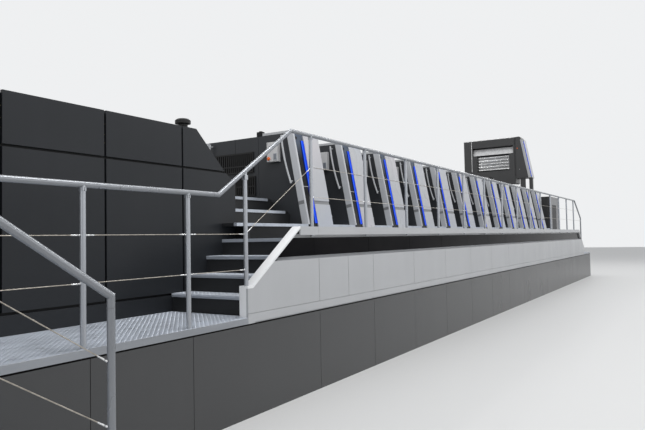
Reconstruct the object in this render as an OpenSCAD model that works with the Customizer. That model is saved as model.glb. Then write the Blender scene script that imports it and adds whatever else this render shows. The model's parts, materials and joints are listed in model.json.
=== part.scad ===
// Sheet-fed offset printing press, with its raised plinth, operator galleries and stairs.
// Millimetres. X runs along the press from the delivery to the feeder, Z is up.
// The origin is on the floor, midway along and across the whole plant.

/* [Press line] */
// Pitch of the printing units and of the plinth panels
unit_pitch = 1250; // [1150:10:1350]
// Number of printing units
unit_count = 12; // [4:1:12]
// Width of the press over the foot of its side covers
press_w = 2054; // [1900:10:2200]
// Height of the top of the printing units
unit_top = 2985; // [2800:5:3100]
// Inward slope of the side covers, in degrees from upright
cover_slope = 10.5; // [6:0.5:14]
// Length of one printing unit's housing along the press
unit_len = 595; // [540:5:700]
// Thickness of a side cover
cover_t = 26; // [20:1:34]
// Distance from the gallery corner to the first unit's wall
first_unit_x = 2339; // [2300:1:2400]

/* [Unit covers] */
// Width of the light corner strip, across the press
strip_w = 105; // [80:1:130]
// How far the corner strip stands out from the wall
strip_out = 12; // [8:1:16]
// Rounding of the corner strip
corner_r = 12; // [6:1:12]
// Width of the glossy slot, from the wall
slot_w = 95; // [80:1:110]
// Depth of the slot's floor under the covers
slot_d = 14; // [10:1:16]
// Width of the light strip
led_w = 75; // [60:1:90]
// Lower edge of the grip groove in a wide cover
grip_z = 2035; // [1980:5:2100]
// Height of the grip groove
grip_h = 46; // [30:1:60]
// Height of the seam in a wide cover
seam_z = 2530; // [2450:5:2600]
// Length of a grab bar, end to end
grab_len = 667; // [560:1:760]
// Bow of a grab bar
grab_bow = 22.5; // [10:0.5:40]
// Clear distance of a grab bar from the wall
grab_off = 52; // [40:1:70]
// Width of a control box
box_w = 210; // [160:5:260]
// Height of a control box
box_h = 264; // [200:4:320]

/* [Plinth and walkway] */
// Height of the plinth panels
plinth_h = 825; // [760:5:880]
// Height of the deck's edge profile above the panels
deck_t = 53; // [40:1:70]
// Width of the walkway beside the press at gallery level
gallery_w = 823; // [760:5:900]
// Thickness of the sheet panels
panel_t = 22; // [12:1:30]
// Gap between neighbouring panels
panel_gap = 5; // [3:1:10]
// Black joint at the gallery corner
corner_gap = 25; // [15:1:35]
// Number of plinth panels from the gallery corner to the feeder end
plinth_bays = 16; // [15:1:17]

/* [Gallery] */
// Number of light fascia panels in pitches, up to the feeder-end stair
fascia_bays = 15; // [14:1:15]
// Top of the light fascia
fascia_top = 1366; // [1330:2:1400]
// Top of the sloped ledge under the glass strip
ledge_top = 1430; // [1415:1:1450]
// Underside of the toe board
toe_z = 1612; // [1590:2:1640]
// Top of the toe board
toe_top = 1700; // [1680:2:1720]
// Gallery floor
gallery_z = 1585; // [1560:1:1600]
// How far the glass strip stands back from the fascia
glass_back = 60; // [40:2:80]
// Thickness of the gallery deck
gallery_deck_t = 40; // [30:1:50]

/* [Stairs] */
// Going of the gallery stairs
stair_going = 251; // [240:1:265]
// First riser of the delivery-end stair, from the gallery corner
stair_x = 158; // [140:2:180]
// Depth of a nosing bar
nosing_w = 45; // [35:1:60]
// Height of a nosing bar
nosing_h = 34; // [26:1:40]
// Thickness of the parapet beside the stair
parapet_t = 100; // [80:2:120]
// Start of the parapet, from the gallery corner
parapet_x = 62; // [55:1:75]

/* [Railings] */
// Height of the handrail over the decks
rail_h = 1085; // [1050:5:1150]
// Diameter of the handrail tube
rail_d = 42; // [34:1:50]
// Diameter of the posts
post_d = 40; // [34:1:48]
// Diameter of the steel cables
cable_d = 8; // [6:1:10]
// Distance of the railings from the deck edge
rail_in = 42; // [40:1:60]
// First post of the gallery railing, from the gallery corner
first_post_x = 1190; // [1100:5:1250]
// Fields of the gallery railing
post_fields = 13; // [11:1:15]
// Length of a cable's end fitting
fitting_l = 100; // [60:5:130]
// Diameter of a cable's end fitting
fitting_d = 14; // [12:1:20]

/* [Access stairs] */
// Width of an access stair
access_w = 950; // [850:10:1050]
// Going of an access stair
access_going = 250; // [240:1:270]
// Place of the access stair's top edge, back from the gallery corner
access_x = 2877; // [2800:1:2950]
// Length of the landing
landing_len = 1000; // [900:10:1100]

/* [Delivery] */
// Length of one delivery bay
bay_len = 947; // [900:1:990]
// Whole bays of the delivery
bay_count = 5; // [4:1:6]
// Sloped end bay of the delivery
end_bay = 822; // [780:1:860]
// Distance of the delivery's end from the gallery corner
delivery_end = 1146; // [1120:1:1180]
// Width of the delivery over its side panels
delivery_w = 1592; // [1500:10:1700]
// Height of the delivery
delivery_top = 2763; // [2700:1:2800]
// Height of the split between the two rows of panels
row_split = 2337; // [2300:1:2380]
// Height of the top of the kick panels
kick_top = 1035; // [1000:1:1060]
// Black gap between the delivery's panels
shadow_gap = 22; // [14:1:28]

/* [Overhead tower] */
// The printing unit that carries the tower
tower_unit = 12; // [2:1:12]
// Underside of the tower at its operator side
tower_z = 3443; // [3400:5:3500]
// Top of the tower
tower_top = 4830; // [4600:10:4900]
// Length of the tower along the press
tower_len = 480; // [400:10:560]
// Place of the tower's front face, from the walkway edge
tower_y = 1600; // [1550:10:1700]
// Width of the tower's front face
tower_w = 1770; // [1600:10:1800]

/* [Feeder] */
// Length of the feeder's tall housing
feeder_len = 1400; // [1300:10:1500]
// Height of the feeder's tall housing
feeder_top = 2860; // [2800:10:2920]
// Length of the hatch in the feeder's side
hatch_len = 680; // [600:10:760]
// Height of the top of the hatch
hatch_top = 2575; // [2400:5:2650]
// Height of the pile station's side frames
pile_top = 1560; // [1500:10:1600]

/* [Hidden] */
$fn = 32;
skin = 0.3;
deck_z = plinth_h + deck_t;
plant_w = press_w + 2*gallery_w;
press_x0 = -(bay_count*bay_len + end_bay) + delivery_end;
plant_x1 = plinth_bays*unit_pitch;
x_mid = (press_x0 + plant_x1)/2;
fascia_x1 = fascia_bays*unit_pitch;
tan_slope = tan(cover_slope);
bed_y = gallery_w + cover_t;
skin_t = 30;
cap_t = 22;
toe_t = 18;
fascia_gap = 12;
glass_t = 8;
toe_gap = 3;
base_rail_top = 915;
stringer_t = 10;
weld = 0.8;
rail_end = 60;
access_post_foot = 380;
grab_d = 26;
grab_in = 178;
grab_down = 360;
grab_tilt = 2.3;
box_in = 220;
box_down = 109;
box_d = 60;
led_t = 4;
led_in = 3;
lip = 14;
grip_d = 10;
seam_d = 8;
roof_bar_in = 35;
roof_bar_l = 482;
roof_bar_h = 35;
wall_seam_in = 587;
cross_going = 284;
cross_end = 2215;
recess_l = 170;
riser_in = 12;
cap_flat = 1160;
cap_flat_x = 137;
far_kink = 1453;
far_post = 340;
far_drop = 565;
last_post_in = 250;
tower_strip_w = 80;
tower_side_top = 4729;
tower_window_d = 260;
window_y = 1695;
window_w = 1367;
window_z = 3740;
roller_in = 140;
roller_d = 84;
grille_t = 22;
grille_edge = 18;
hatch_foot = 1640;
frame_t = 60;
post_x = 92;
riser = (gallery_z - deck_z)/4;
housing_z = gallery_z + riser - nosing_h;
step_y = bed_y - riser_in;
stair_top_x = stair_x + 3*stair_going;
delivery_y = (plant_w - delivery_w)/2;
feeder_x = first_unit_x + unit_count*unit_pitch;
rail_z = deck_z + rail_h;
gallery_rail_z = gallery_z + rail_h;
kink_low_x = -260;
kink_high_x = 829;
cap_slope = (toe_top - cap_flat)/(stair_top_x - cap_flat_x);
rail_slope = (gallery_rail_z - rail_z)/(kink_high_x - kink_low_x);
walk_posts = [-645 - bay_len, -645];
far_kink_x = fascia_x1 - far_kink;
far_post_x = fascia_x1 - far_post;
far_rail_z = gallery_rail_z - far_drop;
far_slope = far_drop/(far_post_x - far_kink_x);
post_step = (far_kink_x - last_post_in - first_post_x)/post_fields;
gallery_posts = [for (i = [0:post_fields]) first_post_x + i*post_step];
landing_x = -access_x - landing_len;
end_bay_x = delivery_end - end_bay + shadow_gap/2;
access_rise = deck_z/5;
access_foot = -access_x + 5*access_going;
access_post_x = -2160;
access_post_z = 1306;
wide_x = slot_w + led_w;
cover_d = cover_t*cos(cover_slope) - skin;
strip_foot = gallery_z + riser + skin;
cover_foot = gallery_z + 15;
cover_top = unit_top - 5;
roof_y = cover_y(unit_top);
feeder_end = feeder_x + feeder_len;
grab_r = grab_len*grab_len/(8*grab_bow) + grab_bow/2;
grab_sweep = 2*asin(grab_len/2/grab_r);
dark = [0.20, 0.205, 0.22];
black = [0.07, 0.07, 0.08];
light = [0.70, 0.71, 0.73];
steel = [0.58, 0.60, 0.63];
blue = [0.10, 0.25, 1.0];

function two(n) = str(n < 10 ? "0" : "", n);
function unit_x(n) = first_unit_x + (n - 1)*unit_pitch;
function cap_z(x) = cap_flat + max(0, x - cap_flat_x)*cap_slope;
function cap_x(z) = cap_flat_x + (z + cap_t - cap_flat)/cap_slope;
function cover_y(z) = gallery_w + (z - housing_z)*tan_slope;
function on_cover(z, depth) = [cover_y(z) + depth, z];
function step_points(at, z) = [[at + riser_in, z - riser], [at + riser_in, z - nosing_h],
    [at + nosing_w, z - nosing_h], [at + nosing_w, z]];
function far_cable_x(z) = far_kink_x + (gallery_rail_z - z - fitting_d/2)/far_slope
    - rail_d/2*sqrt(1 + 1/far_slope/far_slope) - skin;
function slope_len(z0, z1) = (z1 - z0)/cos(cover_slope);

// Moves the plant so that its middle stands on the origin.
module place() {
    translate([-x_mid, -plant_w/2, 0]) children();
}

// Repeats a piece on the drive side.
module both_sides() {
    children();
    translate([0, plant_w, 0]) mirror([0, 1, 0]) children();
}

// Repeats a piece at the feeder end of the gallery.
module both_ends() {
    children();
    translate([fascia_x1, 0, 0]) mirror([1, 0, 0]) children();
}

// A box from one corner to the other.
module span(x0, x1, y0, y1, z0, z1) {
    translate([x0, y0, z0]) cube([x1 - x0, y1 - y0, z1 - z0]);
}

// An outline in Y and Z, drawn out along X.
module along_x(x0, x1) {
    translate([x0, 0, 0]) rotate([90, 0, 90]) linear_extrude(x1 - x0) children();
}

// An outline in X and Z, drawn out along Y.
module along_y(y0, y1) {
    translate([0, y1, 0]) rotate([90, 0, 0]) linear_extrude(y1 - y0) children();
}

// A round bar from a to b.
module rod(a, b, d) {
    v = b - a;
    l = norm(v);
    translate(a) rotate([0, acos(v[2]/l), atan2(v[1], v[0])]) cylinder(h = l, d = d);
}

// A run of handrail tube through points in X and Z, with a welded ball at each corner.
module tube_run(pts) {
    for (i = [0:len(pts) - 2])
        rod([pts[i][0], 0, pts[i][1]], [pts[i + 1][0], 0, pts[i + 1][1]], rail_d);
    for (i = [1:len(pts) - 2])
        translate([pts[i][0], 0, pts[i][1]]) sphere(d = rail_d + 2*weld);
}

module machine_bed() {
    color(black) place() {
        span(press_x0 + panel_t, plant_x1 - panel_t, bed_y, plant_w - bed_y, 0, plinth_h);
        span(delivery_end, feeder_end, bed_y, plant_w - bed_y, plinth_h, housing_z);
    }
}

module support_frames() {
    color(dark) place() both_sides() {
        for (i = [0:bay_count])
            span(press_x0 + i*bay_len + 60, press_x0 + i*bay_len + 100, panel_t, bed_y, 0, plinth_h);
        for (i = [0:plinth_bays - 1])
            span(i*unit_pitch + 60, i*unit_pitch + 100, panel_t, bed_y, 0, plinth_h);
        span(plant_x1 - 100, plant_x1 - 60, panel_t, bed_y, 0, plinth_h);
        for (i = [1:ceil(fascia_bays) - 2])
            along_x(i*unit_pitch - 20, i*unit_pitch + 20)
                polygon([[panel_t, plinth_h], [panel_t, fascia_top - 20], [glass_back + 10, fascia_top - 20],
                    [glass_back + 10, gallery_z - gallery_deck_t], [bed_y, gallery_z - gallery_deck_t],
                    [bed_y, plinth_h]]);
    }
}

module plinth_panels() {
    color(dark) place() {
        both_sides() {
            for (i = [0:plinth_bays - 1])
                span(i*unit_pitch + (i == 0 ? corner_gap/2 : panel_gap/2),
                    (i + 1)*unit_pitch - (i == plinth_bays - 1 ? 0 : panel_gap/2), 0, panel_t, 0, plinth_h);
            for (i = [0:bay_count - 1])
                span(press_x0 + i*bay_len + (i == 0 ? 0 : panel_gap/2),
                    press_x0 + (i + 1)*bay_len - panel_gap/2, 0, panel_t, 0, plinth_h);
            span(press_x0 + bay_count*bay_len + panel_gap/2, -corner_gap/2, 0, panel_t, 0, plinth_h);
        }
        end_w = (plant_w - 2*panel_t - panel_gap)/4;
        for (x = [press_x0, plant_x1 - panel_t], i = [0:3])
            span(x, x + panel_t, panel_t + panel_gap + i*end_w, panel_t + (i + 1)*end_w, 0, plinth_h);
    }
}

module walkway_decks() {
    color(steel) place() {
        both_sides() span(press_x0, stair_x, 0, delivery_y, plinth_h, deck_z);
        both_sides() span(fascia_x1 - stair_x, plant_x1, 0, bed_y, plinth_h, deck_z);
        span(feeder_end, plant_x1, bed_y, plant_w - bed_y, plinth_h, deck_z);
    }
}

module fascia_panels() {
    color(light) place() both_sides() {
        both_ends()
            along_y(0, panel_t)
                polygon([[parapet_x, base_rail_top], [parapet_x, cap_flat - cap_t],
                    [cap_x(cap_flat - cap_t), cap_flat - cap_t], [cap_x(fascia_top), fascia_top],
                    [unit_pitch - panel_gap/2, fascia_top], [unit_pitch - panel_gap/2, base_rail_top]]);
        for (x = [unit_pitch, 1.5*unit_pitch])
            span(x + panel_gap/2, x + unit_pitch/2 - panel_gap/2, 0, panel_t, base_rail_top, fascia_top);
        for (i = [2:fascia_bays - 2])
            span(i*unit_pitch + panel_gap/2, (i + 1)*unit_pitch - panel_gap/2, 0, panel_t,
                base_rail_top, fascia_top);
    }
}

module fascia_base_rails() {
    color(light) place() both_sides()
        along_x(parapet_x, fascia_x1 - parapet_x)
            polygon([[0, plinth_h + fascia_gap], [0, base_rail_top - 3], [panel_t, base_rail_top - 3],
                [panel_t, plinth_h], [6, plinth_h], [6, plinth_h + fascia_gap]]);
}

module fascia_ledges() {
    color(steel) place() both_sides()
        along_x(cap_x(ledge_top), fascia_x1 - cap_x(ledge_top))
            polygon([[0, fascia_top], [glass_back, ledge_top], [glass_back + 10, ledge_top],
                [glass_back + 10, fascia_top - 20], [panel_t, fascia_top - 20], [panel_t, fascia_top]]);
}

module window_strips() {
    color(black) place() both_sides() {
        both_ends()
            along_y(glass_back, glass_back + glass_t)
                polygon([[cap_x(ledge_top), ledge_top], [cap_x(toe_z), toe_z],
                    [unit_pitch - panel_gap/2, toe_z], [unit_pitch - panel_gap/2, ledge_top]]);
        for (i = [1:fascia_bays - 2])
            span(i*unit_pitch + panel_gap/2, (i + 1)*unit_pitch - panel_gap/2, glass_back, glass_back + glass_t,
                ledge_top, toe_z);
    }
}

module toe_boards() {
    ends = [cap_x(toe_top - cap_t), unit_pitch, 5*unit_pitch, 9*unit_pitch, fascia_x1 - cap_x(toe_top - cap_t)];
    color(light) place() both_sides()
        for (i = [0:len(ends) - 2])
            along_x(ends[i] + (i == 0 ? 0 : toe_gap), ends[i + 1])
                polygon([[0, toe_z], [0, toe_top], [toe_t, toe_top], [toe_t, toe_z + 10], [90, toe_z + 10],
                    [90, gallery_z], [80, gallery_z], [80, toe_z]]);
}

module gallery_decks() {
    deck_x0 = stair_top_x + nosing_w;
    color(steel) place() both_sides() {
        span(deck_x0, delivery_end, glass_back + 10, delivery_y, gallery_z - gallery_deck_t, gallery_z);
        span(delivery_end, fascia_x1 - deck_x0, glass_back + 10, bed_y, gallery_z - gallery_deck_t, gallery_z);
    }
}

// The profile of a flight of four risers that climbs along X to the gallery deck, notched for its nosings.
module flight(y1) {
    along_y(parapet_t, y1)
        polygon(concat([[stair_top_x + nosing_w, gallery_z - nosing_h], [stair_top_x + nosing_w, plinth_h],
            [stair_x + riser_in, plinth_h]],
            [for (i = [0:2], k = [0:3]) step_points(stair_x + i*stair_going, deck_z + (i + 1)*riser)[k]],
            [[stair_top_x + riser_in, gallery_z - riser], [stair_top_x + riser_in, gallery_z - nosing_h]]));
}

module gallery_stairs() {
    color(dark) place() both_sides() {
        flight(delivery_y);
        translate([fascia_x1, 0, 0]) mirror([1, 0, 0]) flight(bed_y);
    }
}

// A flight's four nosing bars, across the stair.
module flight_nosings(y1) {
    for (i = [0:3])
        span(stair_x + i*stair_going, stair_x + i*stair_going + nosing_w - skin, parapet_t, y1 - skin,
            deck_z + (i + 1)*riser - nosing_h, deck_z + (i + 1)*riser);
}

module step_nosings() {
    color(steel) place() both_sides() {
        flight_nosings(delivery_y);
        translate([fascia_x1, 0, 0]) mirror([1, 0, 0]) flight_nosings(bed_y);
        for (i = [0:2])
            span(i == 0 ? stair_top_x : delivery_end + skin, i == 0 ? first_unit_x - strip_out - skin : cross_end,
                step_y + i*cross_going, step_y + i*cross_going + nosing_w - skin,
                gallery_z + (i + 1)*riser - nosing_h, gallery_z + (i + 1)*riser);
        for (n = [1:unit_count])
            span(unit_x(n) + unit_len + skin, unit_x(n + 1) - strip_out - skin, step_y, step_y + nosing_w - skin,
                housing_z, gallery_z + riser);
    }
}

module stair_parapets() {
    cap_end = cap_x(toe_top - cap_t);
    color(light) place() both_sides() both_ends() {
        along_y(0, parapet_t)
            polygon([[parapet_x, cap_flat - cap_t], [parapet_x, cap_flat], [cap_flat_x, cap_flat],
                [cap_end, toe_top], [cap_end, toe_top - cap_t], [cap_x(cap_flat - cap_t), cap_flat - cap_t]]);
        along_y(parapet_t - panel_t, parapet_t)
            polygon([[parapet_x, deck_z], [parapet_x, cap_flat - cap_t], [cap_x(cap_flat - cap_t), cap_flat - cap_t],
                [cap_end, toe_top - cap_t], [cap_end, deck_z]]);
        span(parapet_x, parapet_x + panel_t, panel_t, parapet_t - panel_t, deck_z, cap_flat - cap_t);
    }
}

module handrails() {
    color(steel) place() both_sides() {
        translate([0, rail_in, 0]) {
            difference() {
                tube_run([[-access_x, deck_z], [-access_x, rail_z], [kink_low_x, rail_z],
                    [kink_high_x, gallery_rail_z], [far_kink_x, gallery_rail_z], [far_post_x, far_rail_z],
                    [far_post_x, cap_z(far_post - rail_d)]]);
                along_y(-rail_d, rail_d)
                    polygon([for (p = [[-1, 0], [1, 0], [1, -deck_t], [-1, -deck_t]])
                        [far_post_x - p[0]*rail_d, cap_z(far_post + p[0]*rail_d) + skin + p[1]]]);
            }
            tube_run([[press_x0 + rail_end, deck_z], [press_x0 + rail_end, rail_z], [landing_x, rail_z],
                [landing_x, deck_z]]);
        }
        translate([0, rail_in - access_w, 0])
            tube_run([[landing_x, deck_z], [landing_x, rail_z], [-access_x, rail_z], [access_post_x, access_post_z],
                [access_post_x, access_post_foot]]);
    }
}

// A post that stands under the handrail, with its top cut to the tube.
module rail_post(x, z0, z1, slope) {
    difference() {
        translate([x, 0, z0]) cylinder(h = z1 - z0, d = post_d);
        rod([x - rail_d, 0, z1 - rail_d*slope], [x + rail_d, 0, z1 + rail_d*slope], rail_d);
    }
}

module rail_posts() {
    color(steel) place() both_sides() {
        translate([0, rail_in, 0]) {
            for (x = walk_posts) rail_post(x, deck_z, rail_z, 0);
            rail_post(post_x, cap_z(post_x), rail_z + (post_x - kink_low_x)*rail_slope, rail_slope);
            for (x = gallery_posts) rail_post(x, toe_z + 10, gallery_rail_z, 0);
        }
        translate([0, rail_in - access_w, 0]) rail_post(-access_x - rail_end, deck_z, rail_z, 0);
    }
}

module rail_cables() {
    slope = (access_post_z - rail_z)/(access_post_x + access_x);
    color(steel) place() both_sides() {
        translate([0, rail_in, 0]) {
            for (h = [rail_h/3, 2*rail_h/3]) {
                cable(concat([-access_x], walk_posts, [post_x]), deck_z + h, rail_d, post_d);
                cable([press_x0 + rail_end, landing_x], deck_z + h, rail_d, rail_d);
            }
            cable(concat(gallery_posts, [far_post_x]), gallery_z + rail_h/3, post_d, rail_d);
            cable(concat(gallery_posts, [far_cable_x(gallery_z + 2*rail_h/3)]), gallery_z + 2*rail_h/3, post_d, 0);
            fitted_cable([post_x + post_d/2, deck_z + 2*rail_h/3 + 18],
                [gallery_posts[0] - post_d/2, gallery_z + 2*rail_h/3 - 18]);
        }
        translate([0, rail_in - access_w, 0])
            for (h = [rail_h/3, 2*rail_h/3]) {
                cable([landing_x, -access_x - rail_end], deck_z + h, rail_d, post_d);
                fitted_cable([-access_x - rail_end + post_d/2, deck_z + h - slope*(rail_end - post_d/2)],
                    [access_post_x - rail_d/2, deck_z + h + slope*(access_post_x + access_x - rail_d/2)]);
            }
    }
}

// A cable from a to b, in X and Z, with a fitting at each end whose flat face just clears the post.
module fitted_cable(a, b) {
    way = (b - a)/norm(b - a);
    trim = way*fitting_d/2*abs(way[1]/way[0]);
    first = a + trim;
    last = b - trim;
    rod([first[0], 0, first[1]], [last[0], 0, last[1]], cable_d);
    for (from = [first, last - way*fitting_l])
        rod([from[0], 0, from[1]], [from[0] + way[0]*fitting_l, 0, from[1] + way[1]*fitting_l], fitting_d);
}

// Taut cables at height z between the posts at xs, whose first and last may have another diameter.
module cable(xs, z, first_d, last_d) {
    last = len(xs) - 2;
    for (i = [0:last])
        fitted_cable([xs[i] + (i == 0 ? first_d : post_d)/2, z],
            [xs[i + 1] - (i == last ? last_d : post_d)/2, z]);
}

module access_stairs() {
    color(steel) place() both_sides() {
        span(-access_x - landing_len, -access_x, -access_w, 0, plinth_h, deck_z);
        for (x = [-access_x - landing_len + 20, -access_x - 80], y = [-access_w, -60])
            span(x, x + 60, y, y + 60, 0, plinth_h);
        for (y = [-access_w, -30])
            along_y(y, y + stringer_t)
                polygon([[-access_x, deck_z], [-access_x, deck_z - 260], [access_foot - 130, 0], [access_foot + 30, 0],
                    [access_foot + 30, access_rise - 40], [-access_x + access_going, deck_z - 40]]);
        for (i = [1:4])
            span(-access_x + (i - 1)*access_going, -access_x + i*access_going + 20, -access_w + stringer_t, -30,
                deck_z - i*access_rise - 35, deck_z - i*access_rise);
    }
}

module delivery_body() {
    color(black) place() {
        along_y(delivery_y + skin_t, plant_w - delivery_y - skin_t)
            polygon([[press_x0 + skin_t, deck_z], [press_x0 + skin_t, delivery_top - 20],
                [delivery_end - 640, delivery_top - 20], [delivery_end - 200, row_split - 12],
                [delivery_end - 160, row_split - 40], [delivery_end - 10, row_split - 120],
                [delivery_end - 10, deck_z]]);
        span(press_x0 + panel_t, delivery_end - 10, delivery_y, plant_w - delivery_y, plinth_h, deck_z);
    }
}

module delivery_panels() {
    split_z = row_split + shadow_gap/2;
    color(dark) place() both_sides() {
        for (i = [0:bay_count - 1]) {
            x0 = press_x0 + i*bay_len + shadow_gap/2;
            x1 = press_x0 + (i + 1)*bay_len - shadow_gap/2;
            span(x0, x1, delivery_y, delivery_y + skin_t - skin, split_z, delivery_top);
            span(x0, x1, delivery_y, delivery_y + skin_t - skin, kick_top + shadow_gap, row_split - shadow_gap/2);
        }
        along_y(delivery_y, delivery_y + skin_t - skin)
            polygon([[end_bay_x, split_z], [end_bay_x, delivery_top], [delivery_end - 616, delivery_top],
                [delivery_end - 178, split_z]]);
        along_y(delivery_y, delivery_y + skin_t - skin)
            polygon([[end_bay_x, kick_top + shadow_gap], [end_bay_x, row_split - shadow_gap/2],
                [delivery_end - 150, row_split - shadow_gap/2], [delivery_end, row_split - 120],
                [delivery_end, kick_top + shadow_gap]]);
        span(press_x0 + shadow_gap/2, delivery_end - shadow_gap/2, delivery_y, delivery_y + skin_t - skin,
            deck_z, kick_top);
        for (z = [[deck_z, kick_top], [kick_top + shadow_gap, row_split - shadow_gap/2], [split_z, delivery_top]])
            span(press_x0, press_x0 + skin_t - skin, delivery_y + skin_t + shadow_gap/2,
                plant_w/2 - shadow_gap/2, z[0], z[1]);
    }
}

module delivery_vent_cap() {
    color(black) place() translate([420, delivery_y + 86, delivery_top - 20])
        rotate_extrude()
            polygon([[0, 0], [50, 0], [50, 60], [82, 66], [82, 100], [60, 116], [0, 120]]);
}

module cross_steps() {
    climb = concat([[step_y + nosing_w, housing_z], [step_y + nosing_w, gallery_z + riser]],
        [for (i = [1:2], k = [0:3]) step_points(step_y + i*cross_going, gallery_z + (i + 1)*riser)[k]]);
    color(dark) place() {
        along_x(delivery_end, first_unit_x)
            polygon(concat(climb,
                [for (i = [len(climb) - 1:-1:0]) [plant_w - climb[i][0], climb[i][1]]]));
        both_sides() {
            span(stair_top_x, delivery_end, step_y + nosing_w, delivery_y - skin, housing_z, gallery_z + riser);
            span(stair_top_x + recess_l, delivery_end, bed_y, step_y + nosing_w + weld,
                gallery_z, housing_z + weld);
        }
    }
}

// One printing unit's dark housing, a trapezoid across the press with a seam in each wall.
module press_unit(n) {
    color(dark) place() difference() {
        along_x(unit_x(n), unit_x(n) + unit_len)
            polygon([on_cover(housing_z, cover_t), on_cover(unit_top, cover_t),
                [plant_w - roof_y - cover_t, unit_top],
                [plant_w - cover_y(housing_z) - cover_t, housing_z]]);
        both_sides()
            span(unit_x(n) - seam_d, unit_x(n) + seam_d, roof_y + wall_seam_in, roof_y + wall_seam_in + panel_gap,
                strip_foot, unit_top + seam_d);
    }
}

// Lays a piece on the side plane: X along the press, Y into the machine, Z up the slope.
module on_slope(x, z) {
    translate([x, cover_y(z), z]) rotate([-cover_slope, 0, 0]) children();
}

// A corner strip that faces the delivery and turns round the corner, cut level at both ends.
module corner_strip(x, z0, z1, w) {
    intersection() {
        on_slope(x, z0 - w) linear_extrude(slope_len(z0 - w, z1 + w))
            polygon(concat([[lip, 0]],
                [for (a = [0:15:90]) [corner_r*(1 - sin(a)) - strip_out, corner_r*(1 - cos(a))]],
                [[-strip_out, w*cos(cover_slope)], [-skin, w*cos(cover_slope)], [-skin, cover_d], [lip, cover_d]]));
        span(x - 2*strip_out, x + 2*lip, 0, plant_w/2, z0, z1);
    }
}

// The glossy floor of a cover's slot.
module slot_panel(x, z0, z1) {
    on_slope(x, z0) translate([lip + skin, slot_d, 0])
        cube([wide_x - lip - 2*skin, cover_d - slot_d, slope_len(z0, z1)]);
}

// The light strip, whose face slants out of the slot.
module light_strip(x, z0, z1) {
    on_slope(x, z0) linear_extrude(slope_len(z0, z1))
        polygon([[slot_w, slot_d - led_t], [wide_x - skin, led_in], [wide_x - skin, slot_d - skin],
            [slot_w, slot_d - skin]]);
}

module narrow_covers() {
    color(light) place() both_sides()
        for (n = [1:unit_count]) corner_strip(unit_x(n), strip_foot, cover_top, strip_w);
}

module slot_panels() {
    color(black) place() {
        both_sides()
            for (n = [1:unit_count]) slot_panel(unit_x(n), cover_foot + cover_t, cover_top);
        slot_panel(unit_x(tower_unit), tower_z + cover_t, tower_side_top);
    }
}

module light_strips() {
    color(blue) place() {
        both_sides()
            for (n = [1:unit_count]) light_strip(unit_x(n), housing_z + 2*cover_t, cover_top - 60);
        light_strip(unit_x(tower_unit), tower_z + 2*cover_t, tower_side_top - 60);
    }
}

// A sloped wide cover with its grip groove and seam.
module wide_covers() {
    color(light) place() both_sides()
        for (n = [1:unit_count])
            along_x(unit_x(n) + wide_x, unit_x(n) + unit_len)
                polygon([on_cover(cover_foot, 0), on_cover(grip_z, 0), on_cover(grip_z, grip_d),
                    on_cover(grip_z + grip_h, grip_d), on_cover(grip_z + grip_h, 0),
                    on_cover(seam_z, 0), on_cover(seam_z, seam_d), on_cover(seam_z + panel_gap, seam_d),
                    on_cover(seam_z + panel_gap, 0), on_cover(cover_top, 0),
                    on_cover(cover_top, cover_t - skin), on_cover(cover_foot, cover_t - skin)]);
}

// Bowed bars on the units' walls, each on two feet.
module grab_bars() {
    lean = cover_slope + grab_tilt;
    mid_y = cover_y(unit_top - grab_down) + grab_in;
    color(light) place() both_sides()
        for (n = [1:unit_count])
            translate([unit_x(n), mid_y - grab_r*cos(lean), unit_top - grab_down + grab_r*sin(lean)])
                rotate([-lean, 0, 0]) {
                    translate([-grab_off, 0, 0])
                        rotate([90, 0, 90]) rotate([0, 0, -grab_sweep/2])
                            rotate_extrude(angle = grab_sweep) translate([grab_r, 0]) circle(d = grab_d);
                    for (a = [-0.45, 0.45]*grab_sweep)
                        rod([-grab_off, grab_r*cos(a), grab_r*sin(a)], [-skin, grab_r*cos(a), grab_r*sin(a)],
                            grab_d - 6);
                }
}

// Control boxes on the walls' operator side.
module control_boxes() {
    color(light) place()
        for (n = [1:unit_count])
            span(unit_x(n) - box_d, unit_x(n) - skin, roof_y + box_in, roof_y + box_in + box_w,
                unit_top - box_down - box_h, unit_top - box_down);
}

// A grille of upright slats with one cross bar, on the first unit's wall.
module grille(y0, y1, z0, z1, bar_z) {
    pitch = 36;
    slats = floor((y1 - y0 - 2*grille_edge)/pitch);
    difference() {
        span(first_unit_x - grille_t, first_unit_x - skin, y0, y1, z0, z1);
        for (i = [0:slats - 1], part = [[z0 + grille_edge, bar_z - 8], [bar_z + 8, z1 - grille_edge]])
            span(first_unit_x - 2*grille_t, first_unit_x + grille_t, y0 + grille_edge + i*pitch,
                y0 + grille_edge + i*pitch + pitch/2, part[0], part[1]);
    }
}

module louvre_grilles() {
    color(black) place() {
        grille(plant_w/2 - 120, plant_w/2 + 600, 2500, 2785, 2597);
        grille(plant_w/2 - 150, plant_w/2 + 220, 2178, 2450, 2310);
    }
}

module roof_bars() {
    color(light) place() both_sides()
        for (n = [1:unit_count])
            span(unit_x(n), unit_x(n) + 30, roof_y + roof_bar_in, roof_y + roof_bar_in + roof_bar_l,
                unit_top, unit_top + roof_bar_h);
}

// Small black parts on each roof: a knob, a box and a catch.
module roof_fittings() {
    color(black) place() both_sides()
        for (n = [1:unit_count]) {
            translate([unit_x(n) + 18, roof_y + roof_bar_in - 18, unit_top]) cylinder(h = roof_bar_h + 8, d = 34);
            span(unit_x(n), unit_x(n) + 60, roof_y + wall_seam_in - 62, roof_y + wall_seam_in + 8,
                unit_top, unit_top + 122);
            span(unit_x(n) + unit_len - 80, unit_x(n) + unit_len, roof_y + cover_t, roof_y + 2*cover_t,
                unit_top, unit_top + 32);
        }
}

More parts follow.
